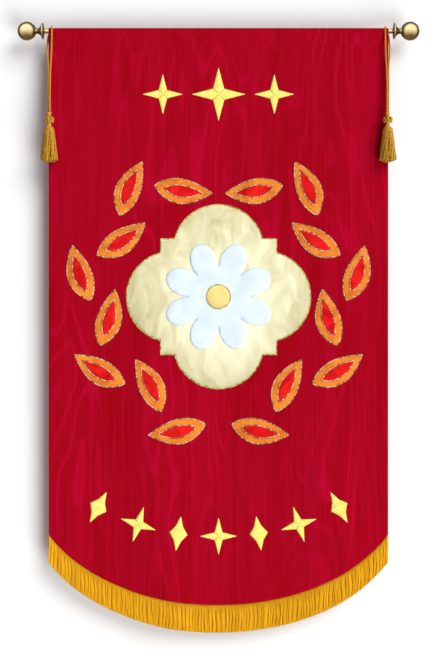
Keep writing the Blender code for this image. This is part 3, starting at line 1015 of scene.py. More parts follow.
class Layers(Enum):
    """The layers of the applied design."""

    STITCHED = Layer()
    QUATREFOIL = Layer(0, 0.0, 0.0024, 0.045, 0.0005)
    FLOWER = Layer(1, 0.0029, 0.0016, 0.022, 0.0003)
    EYE = Layer(2, 0.0046, 0.0012, 0.016)
    LEAF = Layer(0, 0.0, 0.0010, 0.014)
    HEART = Layer(1, 0.0010, 0.0009, 0.010)


@dataclass
class Applique:
    """Cut pieces of cloth laid on the banner, and the metal thread that is sewn over their edges."""

    cloth: HangingCloth
    lift: float = 0.00035
    sheet: float = 0.0010
    roll: float = 0.0009
    stitch_pitch: float = 0.00115
    stitch_reach: float = 0.0019
    stitch_radius: float = 0.00050
    painted_glitter_share: float = 0.40
    stitch_places: tuple[float, ...] = (-1.0, -0.10, 1.0)
    stitch_rise: tuple[float, ...] = (0.05, 0.95, 1.0)
    stitch_lift: tuple[float, ...] = (0.0, 1.0, 0.15)
    stitch_sizes: tuple[float, ...] = (0.6, 1.1, 0.6)
    crease_length: float = 0.045

    def base(self, x: np.ndarray, z: np.ndarray, layer: Layer) -> np.ndarray:
        """Gives the y of a piece's back in that layer."""
        return self.cloth.front(x, z) - self.lift - layer.below * (self.sheet + self.lift) - layer.raised

    def lay(
        self,
        name: str,
        outline: np.ndarray,
        layer: Layer,
        finish: Finish,
        flat: tuple[float, float],
        stands_for: Sequence[str],
        rests_on: str = "hung_cloth",
        cell: float = 0.008,
    ) -> bpy.types.Object:
        """Lays one piece, with a rolled edge and a slightly raised middle.

        Args:
            name: The piece's name.
            outline: Its corners in order, as (x, z).
            layer: How it sits.
            finish: What it is made of.
            flat: The width and length that it was cut to. It is not used.
            stands_for: The solids that it replaces.
            rests_on: The piece that it is sewn to. It is not used.
            cell: The size of its mesh.

        Returns:
            The new piece.
        """
        mesh = bmesh.new()
        mesh.faces.new([mesh.verts.new((x, 0, z)) for x, z in outline])
        bmesh.ops.inset_region(mesh, faces=mesh.faces[:], thickness=self.roll, use_even_offset=False)
        low, high = outline.min(axis=0), outline.max(axis=0)
        cuts = [((x, 0, 0), (1, 0, 0)) for x in np.arange(low[0] + cell / 2, high[0], cell)]
        cuts += [((0, 0, z), (0, 0, 1)) for z in np.arange(low[1] + cell / 2, high[1], cell)]
        for place, direction in cuts:
            parts = mesh.verts[:] + mesh.edges[:] + mesh.faces[:]
            bmesh.ops.bisect_plane(mesh, geom=parts, plane_co=place, plane_no=direction, dist=1e-5)
        raised = bmesh.ops.extrude_face_region(mesh, geom=mesh.faces[:])["geom"]
        fronts = {part for part in raised if isinstance(part, bmesh.types.BMVert)}
        corners = np.array([vertex.co for vertex in mesh.verts])
        x, z = corners[:, 0], corners[:, 2]
        inside = inside_distance(corners[:, [0, 2]], outline)
        edge = 0.35 + 0.65 * eased(inside / self.roll)
        swell = np.sin(np.clip(inside / layer.reach, 0, 1) * TURN / 4)
        height = self.sheet * edge + swell * (layer.puff + layer.crease * self.creases(x, z))
        front = np.array([vertex in fronts for vertex in mesh.verts])
        depth = self.base(x, z, layer) - np.where(front, height, 0.0)
        for vertex, y in zip(mesh.verts, depth):
            vertex.co.y = y
        data = bpy.data.meshes.new(name)
        mesh.to_mesh(data)
        mesh.free()
        made = set_piece(name, data, finish, stands_for)
        return made

    def creases(self, x: np.ndarray, z: np.ndarray) -> np.ndarray:
        """Gives the soft creases of laid cloth at each place, from about -1 to 1."""
        fine = 1 / self.crease_length
        return np.array([noise.noise(Vector((a * fine, b * fine * 0.6, 2.7))) * 1.8 for a, b in zip(x, z)])

    def edge(self, shell: Shell, outline: np.ndarray, layer: Layer, luck: random.Random) -> None:
        """Sews thread over an edge: short stitches side by side, which cross it at a slight slant.

        Args:
            shell: What the stitches are added to.
            outline: The edge's corners in order, as (x, z).
            layer: How the piece with that edge sits.
            luck: Where the stitches' unevenness comes from.
        """
        places, ways = walk(outline, self.stitch_pitch)
        section = round_section(1.0, 4)
        shares, sizes = np.array(self.stitch_places), np.array(self.stitch_sizes)
        rise = np.array(self.stitch_rise) * self.sheet + np.array(self.stitch_lift) * self.stitch_radius
        turned = np.roll(outline, -1, axis=0)
        inwards = 1 if (outline[:, 0] * turned[:, 1] - outline[:, 1] * turned[:, 0]).sum() > 0 else -1
        # painted glitter: a run of stitches keeps one light or dark tone until a new one is drawn
        tone = luck.random()
        for number, (place, way) in enumerate(zip(places, ways)):
            if luck.random() < self.painted_glitter_share:
                tone = luck.random()
            across = inwards * np.array((-way[1], way[0])) + way * (0.35 if number % 2 else -0.25)
            reach = self.stitch_reach * luck.uniform(0.88, 1.12)
            points = place + shares[:, None] * across * reach
            x, z = points[:, 0], points[:, 1]
            line = np.stack((x, self.base(x, z, layer) - rise, z), axis=1)
            size = self.stitch_radius * luck.uniform(0.85, 1.15) * sizes
            shell.add_loft(straight_rings(line, section, size), tone)


def straight_rings(line: np.ndarray, section: np.ndarray, sizes: np.ndarray) -> np.ndarray:
    """Sets a section at each point of a nearly straight thread, square to its whole run.

    Args:
        line: The thread's points.
        section: The section's corners as (across, up).
        sizes: The section's size at each point.

    Returns:
        Rings, as an array of points by corners by 3.
    """
    way = line[-1] - line[0]
    way = way / np.linalg.norm(way)
    across = np.cross(way, (0.0, 1.0, 0.0))
    across /= np.linalg.norm(across)
    other = np.cross(way, across)
    spread = section[:, :1] * across + section[:, 1:] * other
    return line[:, None, :] + sizes[:, None, None] * spread


@dataclass
class Design:
    """The applied design: a quatrefoil with a flower in it, and a wreath of two-layer leaves round it."""

    applique: Applique
    centre_down: float = 0.715
    lobe_radius: float = 0.122
    lobe_place: float = 0.126
    barb_half: float = 0.156
    lobe_steps: int = 44
    petals: int = 8
    flower_radius: float = 0.150
    petal_notch: float = 0.54
    petal_fullness: float = 0.62
    petal_steps: int = 28
    eye_radius: float = 0.032
    eye_steps: int = 72
    wreath_radius: float = 0.345
    leaves_a_side: int = 8
    first_leaf: float = math.radians(-84)
    leaf_spacing: float = math.radians(20.6)
    leaf_tilt: float = math.radians(27)
    leaf_length: float = 0.155
    leaf_width: float = 0.066
    leaf_bend: float = 0.16
    belly_place: float = 0.85
    belly: float = 0.90
    leaf_steps: int = 30
    heart_start: float = 0.17
    heart_end: float = 0.84
    heart_width: float = 0.50

    def build(self) -> None:
        """Builds the quatrefoil, the flower and the wreath."""
        self.build_medallion()
        self.build_wreath()

    def build_medallion(self) -> None:
        """Lays the quatrefoil, the flower and its eye, and sews their edges."""
        down = Vector((0, -self.centre_down))
        luck = random.Random(11)
        quatrefoil = np.array([point + down for point in self.quatrefoil()])
        across = 2 * (self.lobe_place + self.lobe_radius)
        self.applique.lay(
            "quatrefoil_cloth",
            quatrefoil,
            Layers.QUATREFOIL.value,
            Finishes.LAME.value,
            (across, across),
            ["medallion"],
            cell=0.007,
        )
        edge = Shell()
        self.applique.edge(edge, quatrefoil, Layers.QUATREFOIL.value, luck)
        edge.piece("quatrefoil_edging", Finishes.LAME_EDGE.value)
        rosette = np.array([point + down for point in self.rosette()])
        across = 2 * self.flower_radius
        self.applique.lay(
            "flower_cloth",
            rosette,
            Layers.FLOWER.value,
            Finishes.WHITE.value,
            (across, across),
            ["flower"],
            "quatrefoil_cloth",
            0.006,
        )
        angles = np.arange(self.eye_steps) * TURN / self.eye_steps
        eye = np.stack(
            (self.eye_radius * np.cos(angles), self.eye_radius * np.sin(angles) - self.centre_down), axis=1
        )
        across = 2 * self.eye_radius
        self.applique.lay(
            "eye_cloth",
            eye,
            Layers.EYE.value,
            Finishes.EYE_LAME.value,
            (across, across),
            ["flower_eye"],
            "flower_cloth",
            0.004,
        )
        edge = Shell()
        self.applique.edge(edge, eye, Layers.EYE.value, luck)
        edge.piece("eye_edging", Finishes.LAME_EDGE.value)

    def build_wreath(self) -> None:
        """Lays the leaves with their hearts, and sews the edges of each side in one piece."""
        whole = self.leaf(0.0, 1.0, self.leaf_width)
        heart = self.leaf(self.heart_start, self.heart_end, self.leaf_width * self.heart_width)
        heart_length = self.leaf_length * (self.heart_end - self.heart_start)
        heart_flat = (self.leaf_width * self.heart_width, heart_length)
        for word, side in SIDES.items():
            leaf_edges, heart_edges = Shell(), Shell()
            luck = random.Random(23 + side)
            for number in range(self.leaves_a_side):
                name = f"{word}_{number + 1}"
                laid = self.set_leaf(whole, side, number)
                self.applique.lay(
                    f"leaf_cloth_{name}",
                    laid,
                    Layers.LEAF.value,
                    Finishes.ORANGE.value,
                    (self.leaf_width, self.leaf_length),
                    [f"leaf_{name}"],
                    cell=0.0055,
                )
                self.applique.edge(leaf_edges, laid, Layers.LEAF.value, luck)
                laid = self.set_leaf(heart, side, number)
                self.applique.lay(
                    f"heart_cloth_{name}",
                    laid,
                    Layers.HEART.value,
                    Finishes.SCARLET.value,
                    heart_flat,
                    [f"leaf_heart_{name}"],
                    f"leaf_cloth_{name}",
                    0.0045,
                )
                self.applique.edge(heart_edges, laid, Layers.HEART.value, luck)
            leaf_edges.piece(f"leaf_edging_{word}", Finishes.ORANGE_EDGE.value)
            heart_edges.piece(f"heart_edging_{word}", Finishes.SCARLET_EDGE.value)

    def quatrefoil(self) -> list[Vector]:
        """Draws four round lobes with a square barb between each two."""
        reach = math.acos((self.barb_half - self.lobe_place) / self.lobe_radius)
        points = []
        for quarter in range(4):
            turn = Matrix.Rotation(quarter * TURN / 4, 2)
            for step in range(self.lobe_steps + 1):
                angle = between(-reach, reach, step / self.lobe_steps)
                out = self.lobe_place + self.lobe_radius * math.cos(angle)
                points.append(turn @ Vector((out, self.lobe_radius * math.sin(angle))))
            points.append(turn @ Vector((self.barb_half, self.barb_half)))
        return points

    def rosette(self) -> list[Vector]:
        """Draws full round petals with a notch between each two."""
        points = []
        count = self.petals * self.petal_steps
        for step in range(count):
            within = math.pi * (step % self.petal_steps) / self.petal_steps
            fullness = math.sin(within) ** self.petal_fullness
            radius = self.flower_radius * between(self.petal_notch, 1.0, fullness)
            angle = TURN * step / count + TURN / 4
            points.append(Vector((radius * math.cos(angle), radius * math.sin(angle))))
        return points

    def leaf(self, start: float, end: float, width: float) -> list[Vector]:
        """Draws a pointed leaf with a curved rib, along +X.

        Args:
            start: Where it begins, as a share of the whole leaf.
            end: Where it ends, likewise.
            width: Its greatest width.

        Returns:
            The outline's points.
        """
        shares = [between(start, end, step / self.leaf_steps) for step in range(self.leaf_steps + 1)]

        def edge(share: float, side: int) -> Vector:
            """Gives the point of one edge at that share of the leaf's length."""
            within = (share - start) / (end - start)
            half = 0.0
            if 0 < within < 1:
                half = width / 2 * math.sin(math.pi * within**self.belly_place) ** self.belly
            rib = self.leaf_bend * self.leaf_length * share * (1 - share)
            return Vector((self.leaf_length * share, rib + side * half))

        lower = [edge(share, -1) for share in shares]
        upper = [edge(share, 1) for share in shares[1:-1]]
        return lower + upper[::-1]

    def set_leaf(self, shape: Sequence[Vector], side: int, number: int) -> np.ndarray:
        """Lays a leaf's outline at its place in the wreath.

        Args:
            shape: The outline along +X.
            side: The banner's side, -1 or 1.
            number: Its place in the row, from the foot up.

        Returns:
            The outline as (x, z).
        """
        lean = -1 if number % 2 else 1
        angle = self.first_leaf + self.leaf_spacing * number
        base = self.wreath_radius * Vector((math.cos(angle), math.sin(angle)))
        turn = Matrix.Rotation(angle + TURN / 4 + self.leaf_spacing / 2 - self.leaf_tilt * lean, 2)
        laid = [base + turn @ Vector((point.x, -lean * point.y)) for point in shape]
        return np.array([(side * point.x, point.y - self.centre_down) for point in laid])


@dataclass
class StitchedRows:
    """Stars and lozenges worked in satin stitch: thread laid side by side over a low pad."""

    applique: Applique
    top_row_down: float = 0.170
    top_row_spacing: float = 0.150
    top_star_sizes: tuple[float, ...] = (0.054, 0.072, 0.054)
    star_waist: float = 0.30
    foot_row_above_hem: float = 0.186
    foot_row_count: int = 7
    foot_row_spacing: float = 0.108
    foot_star_size: float = 0.050
    lozenge_half_width: float = 0.025
    lozenge_half_height: float = 0.047
    lozenge_pinch: float = 0.82
    thread_pitch: float = 0.00066
    thread_radius: float = 0.00038
    crown: float = 0.0009
    slant: float = 0.03
    thread_places: tuple[float, ...] = (0.0, 0.10, 0.5, 0.90, 1.0)
    thread_rise: tuple[float, ...] = (0.10, 0.70, 1.0, 0.70, 0.10)
    thread_sizes: tuple[float, ...] = (0.6, 0.95, 1.0, 0.95, 0.6)
    # painted shade: each thread is painted darker towards its ends, where it goes into the cloth
    thread_end_shade: tuple[float, ...] = (0.8, 0.15, 0.0, 0.22, 0.9)

    def build(self) -> None:
        """Builds both rows, with one piece for each motif."""
        luck = random.Random(37)
        for number, size in enumerate(self.top_star_sizes):
            place = np.array((self.top_row_spacing * (number - 1), -self.top_row_down))
            self.work(f"top_star_{number + 1}", self.star(size), place, 0.0, f"star_top_{number + 1}", luck)
        slope_step = 0.0003
        for number in range(self.foot_row_count):
            x = self.foot_row_spacing * (number - (self.foot_row_count - 1) / 2)
            hem = self.applique.cloth.hem
            slope = float(hem(x + slope_step) - hem(x - slope_step)) / (2 * slope_step)
            place = np.array((x, float(hem(x)) + self.foot_row_above_hem))
            if number % 2:
                kind, arms = "star", self.star(self.foot_star_size)
            else:
                kind, arms = "lozenge", self.lozenge()
            name = f"{kind}_foot_{number + 1}"
            self.work(f"foot_{kind}_{number + 1}", arms, place, math.atan(slope), name, luck)

    def star(self, size: float) -> list[np.ndarray]:
        """Draws the four arms of a star, each as tip, side, heel and side."""
        waist = size * self.star_waist
        arms = []
        for corner in range(4):
            angle = TURN / 4 * corner
            around = [(size, angle), (waist, angle + TURN / 8), (0.0, 0.0), (waist, angle - TURN / 8)]
            corners = [(reach * math.cos(turn), reach * math.sin(turn)) for reach, turn in around]
            arms.append(np.array(corners))
        return arms

    def lozenge(self) -> list[np.ndarray]:
        """Draws the upper and lower half of a diamond with slightly hollow sides."""
        wide, tall, pinch = self.lozenge_half_width, self.lozenge_half_height, self.lozenge_pinch / 2
        halves = []
        for up in (1, -1):
            halves.append(
                np.array(
                    [
                        (0.0, up * tall),
                        (wide * pinch, up * tall * pinch),
                        (wide, 0.0),
                        (-wide, 0.0),
                        (-wide * pinch, up * tall * pinch),
                    ]
                )
            )
        return halves

    def work(
        self,
        name: str,
        arms: Sequence[np.ndarray],
        place: np.ndarray,
        turn: float,
        stands_for: str,
        luck: random.Random,
    ) -> None:
        """Works one motif, arm by arm, with threads that run square to the arm.

        Args:
            name: The piece's name.
            arms: The outlines of its arms round their own middle.
            place: Where its middle goes, as (x, z).
            turn: How far it is turned.
            stands_for: The solid that it replaces.
            luck: Where the threads' unevenness comes from.
        """
        shell = Shell()
        rotation = np.array(((math.cos(turn), math.sin(turn)), (-math.sin(turn), math.cos(turn))))
        section = round_section(1.0, 4)
        shares, slimmed = np.array(self.thread_places), np.array(self.thread_sizes)
        arch = self.applique.sheet * np.array(self.thread_rise)
        for arm in arms:
            tip = arm[0] / np.linalg.norm(arm[0])
            square = np.array((-tip[1], tip[0]))
            along, side = arm @ tip, arm @ square
            low, high = along.min(), along.max()
            count = round((high - low) / self.thread_pitch)
            for number in range(count):
                height = between(low, high, (number + 0.5) / count)
                span = self.span(along, side, height)
                if span is None:
                    continue
                left, right = span[0] - luck.uniform(0.0, 0.0006), span[1] + luck.uniform(0.0, 0.0006)
                across = left + (right - left) * shares
                lean = height + self.slant * (right - left) * (shares - 0.5)
                points = (across[:, None] * square + lean[:, None] * tip) @ rotation + place
                crown = self.crown * min(1.0, (right - left) / 0.012)
                rise = arch + crown * np.sin(math.pi * shares) ** 0.7
                x, z = points[:, 0], points[:, 1]
                line = np.stack((x, self.applique.base(x, z, Layers.STITCHED.value) - rise, z), axis=1)
                sizes = self.thread_radius * luck.uniform(0.92, 1.1) * slimmed
                # painted shade at the threads' ends
                shade = np.clip(luck.uniform(0.45, 1.0) - 0.5 * np.array(self.thread_end_shade), 0, 1)
                shell.add_loft(straight_rings(line, section, sizes), shade)
        self.pad(shell, arms, rotation, place)
        shell.piece(name, Finishes.STITCH.value, [stands_for])

    def span(self, along: np.ndarray, side: np.ndarray, height: float) -> tuple[float, float] | None:
        """Finds where an arm's outline is crossed at one height.

        Args:
            along: The corners' places along the arm.
            side: The corners' places across it.
            height: The height of the crossing.

        Returns:
            Its left and right ends, or None where it is too short to sew.
        """
        found = []
        for a, b, p, q in zip(along, np.roll(along, -1), side, np.roll(side, -1)):
            if (a - height) * (b - height) < 0:
                found.append(p + (q - p) * (height - a) / (b - a))
        if len(found) < 2 or max(found) - min(found) < 0.0008:
            return None
        return min(found), max(found)

    def pad(
        self, shell: Shell, arms: Sequence[np.ndarray], rotation: np.ndarray, place: np.ndarray
    ) -> None:
        """Adds the low pad that the threads cover, a little inside the outline.

        Args:
            shell: What it is added to.
            arms: The outlines of the motif's arms.
            rotation: How the motif is turned.
            place: Where its middle goes.
        """
        for arm in arms:
            centre = arm.mean(axis=0)
            inner = (centre + (arm - centre) * 0.93) @ rotation + place
            rings = []
            for rise in (0.0, self.applique.sheet * 0.75):
                x, z = inner[:, 0], inner[:, 1]
                y = self.applique.base(x, z, Layers.STITCHED.value) - rise
                rings.append(np.stack((x, y, z), axis=1))
            shell.add_loft(np.array(rings), 0.3)


@dataclass
class Fringe:
    """The gold bullion fringe: a woven heading behind the hem, and twisted strands in two rows."""

    cloth: HangingCloth
    drop: float = 0.074
    heading_behind: float = 0.008
    heading_below: float = 0.009
    heading_thickness: float = 0.0022
    clear: float = 0.0003
    strands: int = 560
    yarn_radius: float = 0.00172
    twist_pitch: float = 0.0100
    ring_step: float = 0.0030
    sway: float = 0.0013
    gather: float = 0.32
    back_fullness: float = 1.38
    calm_top: float = 0.16
    ribs: int = 9
    heading_columns: int = 420

    def build(self) -> None:
        """Builds the heading and both rows of strands."""
        self.build_heading()
        self.build_strands()

    def build_heading(self) -> None:
        """Builds the heading: gold threads that run along the band, bound by cross threads."""
        shell = Shell()
        top, foot = self.heading_behind, -self.heading_below
        columns = self.heading_columns
        half = self.cloth.width / 2
        x = np.linspace(-half, half, columns + 1)
        edge = self.cloth.hem(x)
        back = self.cloth.fall(x, edge) + self.cloth.thickness / 2 + self.clear
        rise = np.linspace(foot, top, 2 * self.ribs + 1)
        bulge = 0.5 * self.heading_thickness * np.where(np.arange(2 * self.ribs + 1) % 2, 1.0, 0.45)
        section = [(-depth, up) for depth, up in zip(bulge, rise)]
        section += [(-depth, up) for depth, up in section[::-1]]
        middle = back + self.heading_thickness / 2
        rings = np.empty((columns + 1, len(section), 3))
        for corner, (depth, up) in enumerate(section):
            bound = 0.86 + 0.14 * (np.arange(columns + 1) % 2)
            rings[:, corner, 0] = x
            rings[:, corner, 1] = middle + depth * bound
            rings[:, corner, 2] = edge + up
        # painted shade: the columns that the cross threads hold lower are painted darker
        shade = np.where(np.arange(columns + 1) % 2, 0.62, 0.48)
        shell.add_loft(rings, shade)
        shell.piece("fringe_heading", Finishes.FRINGE.value, ["fringe"])

    def build_strands(self) -> None:
        """Builds the strands, which hang together in small bundles, the front row over the back row."""
        luck = random.Random(51)
        for row, word in enumerate(("front", "back")):
            shell = Shell()
            number, phase = 0, 0.0
            while number < self.strands // 2:
                size = min(luck.choice((1, 2, 2, 3, 3, 4)), self.strands // 2 - number)
                phase += luck.gauss(0, 0.9)
                lean, tone = luck.gauss(0, 0.5), luck.uniform(-0.14, 0.14)
                for member in range(size):
                    aside = member - (size - 1) / 2
                    self.hang_strand(shell, row, number + member, aside, (phase, lean, tone), luck)
                number += size
            shell.piece(f"fringe_strands_{word}", Finishes.FRINGE.value)

    def hang_strand(
        self,
        shell: Shell,
        row: int,
        number: int,
        aside: float,
        bundle: tuple[float, float, float],
        luck: random.Random,
    ) -> None:
        """Hangs one strand, whose two plies show as a twist.

        Args:
            shell: What it is added to.
            row: Its row, 0 in front and 1 behind.
            number: Its place in the row.
            aside: How many strands it is from its bundle's middle.
            bundle: The bundle's phase of wave, its lean and its tone.
            luck: Where its unevenness comes from.
        """
        phase, lean, tone = bundle
        half = self.cloth.width / 2
        spacing = self.cloth.width / (self.strands / 2 + 0.2)
        x = -half + (number + 0.35 + 0.5 * row) * spacing
        edge = float(self.cloth.hem(x))
        top = edge - (self.heading_below * 0.85 if row else 0.0016)
        foot = edge - self.drop + luck.uniform(-0.0005, 0.0005)
        shares = np.linspace(0, 1, round((top - foot) / self.ring_step) + 1)
        free = eased(shares / (2.2 * self.calm_top))
        swing = self.sway * (0.12 if row else 1.0) * free * (np.sin(phase + 6.0 * shares) + lean * shares)
        gather = 0.0 if row else self.gather
        drawn = -aside * spacing * gather * free * np.interp(shares, (0, 0.75, 1), (1, 1, 0.25))
        across = np.clip(x + swing + drawn, -half, half)
        forward = 0.0005 * free * (1 - abs(aside))
        depth = self.cloth.fall(x, edge) + (0.0024 if row else -0.0004) - forward
        line = np.stack((across, np.full(len(shares), depth), between(top, foot, shares)), axis=1)
        twist = TURN * self.ring_step / (self.twist_pitch * luck.uniform(0.9, 1.1))
        knotted = np.interp(shares, (0, 0.03, 0.9, 0.97, 1), (0.7, 1, 1.02, 1.08, 0.85))
        size = luck.uniform(0.94, 1.08) * knotted
        size = size * (self.back_fullness if row else 1.0)
        # painted shade: the back row is painted darker, and a bundle's outer strands darker than its middle
        own = 0.86 + tone + 0.16 * (1 - 1.5 * abs(aside)) + luck.gauss(0, 0.08) - 0.34 * row
        shade = between(0.76, own, eased(shares / self.calm_top)) + 0.06 * np.sin(9 * shares + phase)
        section = plied_section(self.yarn_radius, 3, 3) if row else plied_section(self.yarn_radius, 2, 4)
        # painted shade in the grooves between the plies
        shades = np.clip(np.outer(shade, ply_shade(section, 0.55)), 0, 1)
        shell.add_loft(rings_along(line, section, twist, size), shades)


@dataclass
class TasselledCord:
    """A twisted cord looped over the rod at the cloth's edge, and the tassel on both its ends."""

    word: str
    half_width: float = 0.457
    cord_radius: float = 0.0025
    cord_step: float = 0.0012
    cord_pitch: float = 0.0160
    out: float = -0.0036
    front: float = -0.0192
    skirt_top: float = 0.2695
    skirt_foot: float = 0.3485
    skirt_belly: float = 0.0050
    skirt_flare: float = 1.88
    skirt_flatness: float = 0.78
    knot_down: float = 0.2415
    knot_radius: float = 0.0112
    knot_height: float = 0.0062
    knot_leads: int = 3
    knot_bights: int = 7
    knot_cord: float = 0.0019
    skirt_rows: tuple[tuple[float, int], ...] = ((0.0118, 58), (0.0092, 46), (0.0060, 28))
    skirt_yarn: float = 0.00155
    bead_threads: int = 18
    neck_threads: int = 30
    knot_core_threads: int = 16
    wind_yarn: float = 0.00105
    winds: tuple[tuple[float, float], ...] = (
        (0.2641, 0.0109),
        (0.2659, 0.0119),
        (0.2677, 0.0124),
        (0.2695, 0.0121),
    )
    route: tuple[tuple[float, float, float], ...] = (
        (-0.0056, -0.0210, -0.2194),
        (-0.0056, -0.0204, -0.2100),
        (-0.0053, -0.0190, -0.1850),
        (-0.0052, -0.0172, -0.1500),
        (-0.0058, -0.0156, -0.1200),
        (-0.0066, -0.0146, -0.0980),
        (-0.0086, -0.0134, -0.0600),
        (-0.0092, -0.0120, -0.0250),
        (-0.0094, -0.0110, -0.0030),
        (-0.0090, -0.0080, 0.0080),
        (-0.0078, 0.0000, 0.0113),
        (-0.0050, 0.0080, 0.0080),
        (-0.0012, 0.0112, -0.0020),
        (0.0022, 0.0106, -0.0110),
        (0.0034, 0.0072, -0.0210),
        (0.0036, 0.0016, -0.0340),
        (0.0034, -0.0044, -0.0480),
        (0.0024, -0.0090, -0.0630),
        (0.0008, -0.0116, -0.0800),
        (-0.0006, -0.0128, -0.0980),
        (-0.0009, -0.0134, -0.1200),
        (-0.0008, -0.0142, -0.1500),
        (-0.0012, -0.0155, -0.1850),
        (-0.0016, -0.0166, -0.2100),
        (-0.0016, -0.0170, -0.2194),
    )
    bead: tuple[tuple[float, float], ...] = (
        (0.2196, 0.0030),
        (0.2206, 0.0046),
        (0.2222, 0.0056),
        (0.2242, 0.0060),
        (0.2262, 0.0057),
        (0.2278, 0.0048),
        (0.2294, 0.0040),
        (0.2316, 0.0044),
        (0.2336, 0.0052),
    )
    neck: tuple[tuple[float, float], ...] = (
        (0.2464, 0.0060),
        (0.2510, 0.0047),
        (0.2545, 0.0049),
        (0.2580, 0.0062),
        (0.2610, 0.0081),
        (0.2640, 0.0100),
        (0.2695, 0.0112),
    )

    @property
    def side(self) -> int:
        """Gives the banner's side, -1 or 1."""
        return SIDES[self.word]

    def build(self) -> None:
        tassel = self.build_tassel()
        route = [Vector((self.side * (self.half_width + out), back, up)) for out, back, up in self.route]
        line = smooth_line(route, self.cord_step)
        shell = Shell()
        section = plied_section(self.cord_radius, 3, 5)
        twist = self.side * TURN * self.cord_step / self.cord_pitch
        points = np.array(line)
        # painted shade: the grooves between the cord's plies are painted dark
        shade = np.full(len(line), 0.92)
        shell.add_loft(rings_along(points, section, twist), np.outer(shade, ply_shade(section, 0.0)))
        cord = shell.piece(f"loop_cord_{self.word}", Finishes.CORD.value, [f"cord_{self.word}"])

    def build_tassel(self) -> bpy.types.Object:
        """Builds the skirt, and the head of bead, woven knot and wrapped neck.

        Returns:
            The head, which is what the cord goes into.
        """
        skirt = Shell()
        self.hang_skirt(skirt, random.Random(70 + self.side))
        skirt.piece(f"tassel_skirt_{self.word}", Finishes.TASSEL.value)
        shell = Shell()
        self.turn_threads(shell, self.bead, self.bead_threads, 0.12, 0.8)
        self.weave_knot(shell)
        self.turn_threads(shell, self.neck, self.neck_threads, 0.10, 0.15)
        for down, radius in self.winds:
            self.wind(shell, down, radius, self.wind_yarn)
        return shell.piece(f"tassel_head_{self.word}", Finishes.TASSEL.value, [f"tassel_{self.word}"])

    def middle(self) -> np.ndarray:
        """Gives the tassel's axis at the height of the rod."""
        return np.array((self.side * (self.half_width + self.out), self.front, 0.0))

    def turn_threads(
        self, shell: Shell, profile: Sequence[tuple[float, float]], threads: int, depth: float, twist: float
    ) -> None:
        """Turns a form that is covered with threads laid along it.

        Args:
            shell: What it is added to.
            profile: Rows of how far down and how wide it is.
            threads: How many threads go round.
            depth: How deep the grooves between them are, as a share of the radius.
            twist: How far the threads turn from the top to the foot, in radians.
        """
        fine = 3
        rows = len(profile)
        places = np.linspace(0, rows - 1, (rows - 1) * fine + 1)
        downs = np.interp(places, range(rows), [row[0] for row in profile])
        widths = np.interp(downs, [row[0] for row in profile], [row[1] for row in profile])
        count = threads * 4
        rings = np.empty((len(downs), count, 3))
        shades = np.empty((len(downs), count))
        for number, (down, width) in enumerate(zip(downs, widths)):
            angles = np.arange(count) * TURN / count + twist * number / len(downs)
            groove = np.abs(np.sin(np.arange(count) * math.pi / 4))
            radius = width * (1 - depth + depth * groove)
            across, deep = radius * np.cos(angles), radius * np.sin(angles)
            rings[number] = np.stack((across, deep, np.full(count, -down)), axis=1)
            # painted shade: darker in the grooves between the threads
            shades[number] = 0.25 + 0.6 * groove
        shell.add((rings + self.middle()).reshape(-1, 3), loft_faces(len(downs), count), shades.reshape(-1))

    def wind(self, shell: Shell, down: float, radius: float, yarn: float) -> None:
        """Winds one turn of yarn round the tassel.

        Args:
            shell: What it is added to.
            down: How far it lies below the rod's axis.
            radius: The turn's radius.
            yarn: The yarn's radius.
        """
        steps = 54
        angles = np.arange(steps + 1) * TURN / steps
        up = np.full(steps + 1, -down) + 0.0006 * angles / TURN
        line = np.stack((radius * np.cos(angles), radius * np.sin(angles), up), axis=1)
        rings = rings_along(line + self.middle(), plied_section(yarn, 2, 3), 0.62)
        shell.add_loft(rings, 0.80 + 0.18 * np.sin(np.arange(steps + 1) * 1.7))

    def weave_knot(self, shell: Shell) -> None:
        """Weaves the knot ball: one cord that goes over and under itself all the way round.

        Args:
            shell: What it is added to.
        """
        steps = 300
        along = np.arange(steps + 1) / steps
        beat = TURN * self.knot_bights * along
        angle = TURN * self.knot_leads * along
        up = -self.knot_height * np.cos(beat)
        waist = np.sqrt(np.clip(1 - (up / (self.knot_height * 1.45)) ** 2, 0, 1))
        radius = self.knot_radius * (0.30 + 0.70 * waist) + 0.0008 * np.sin(2 * beat)
        across, deep = radius * np.cos(angle), radius * np.sin(angle)
        line = np.stack((across, deep, up - self.knot_down), axis=1) + self.middle()
        rings = rings_along(line, plied_section(self.knot_cord, 2, 4), 0.75)
        shell.add_loft(rings, 0.60 + 0.30 * np.sin(3 * beat))
        turns = np.linspace(math.pi - 0.5, 0.5, 9)
        core = [(self.knot_down + 0.0088 * math.cos(a), 0.0092 * math.sin(a)) for a in turns]
        self.turn_threads(shell, core, self.knot_core_threads, 0.06, 0.0)

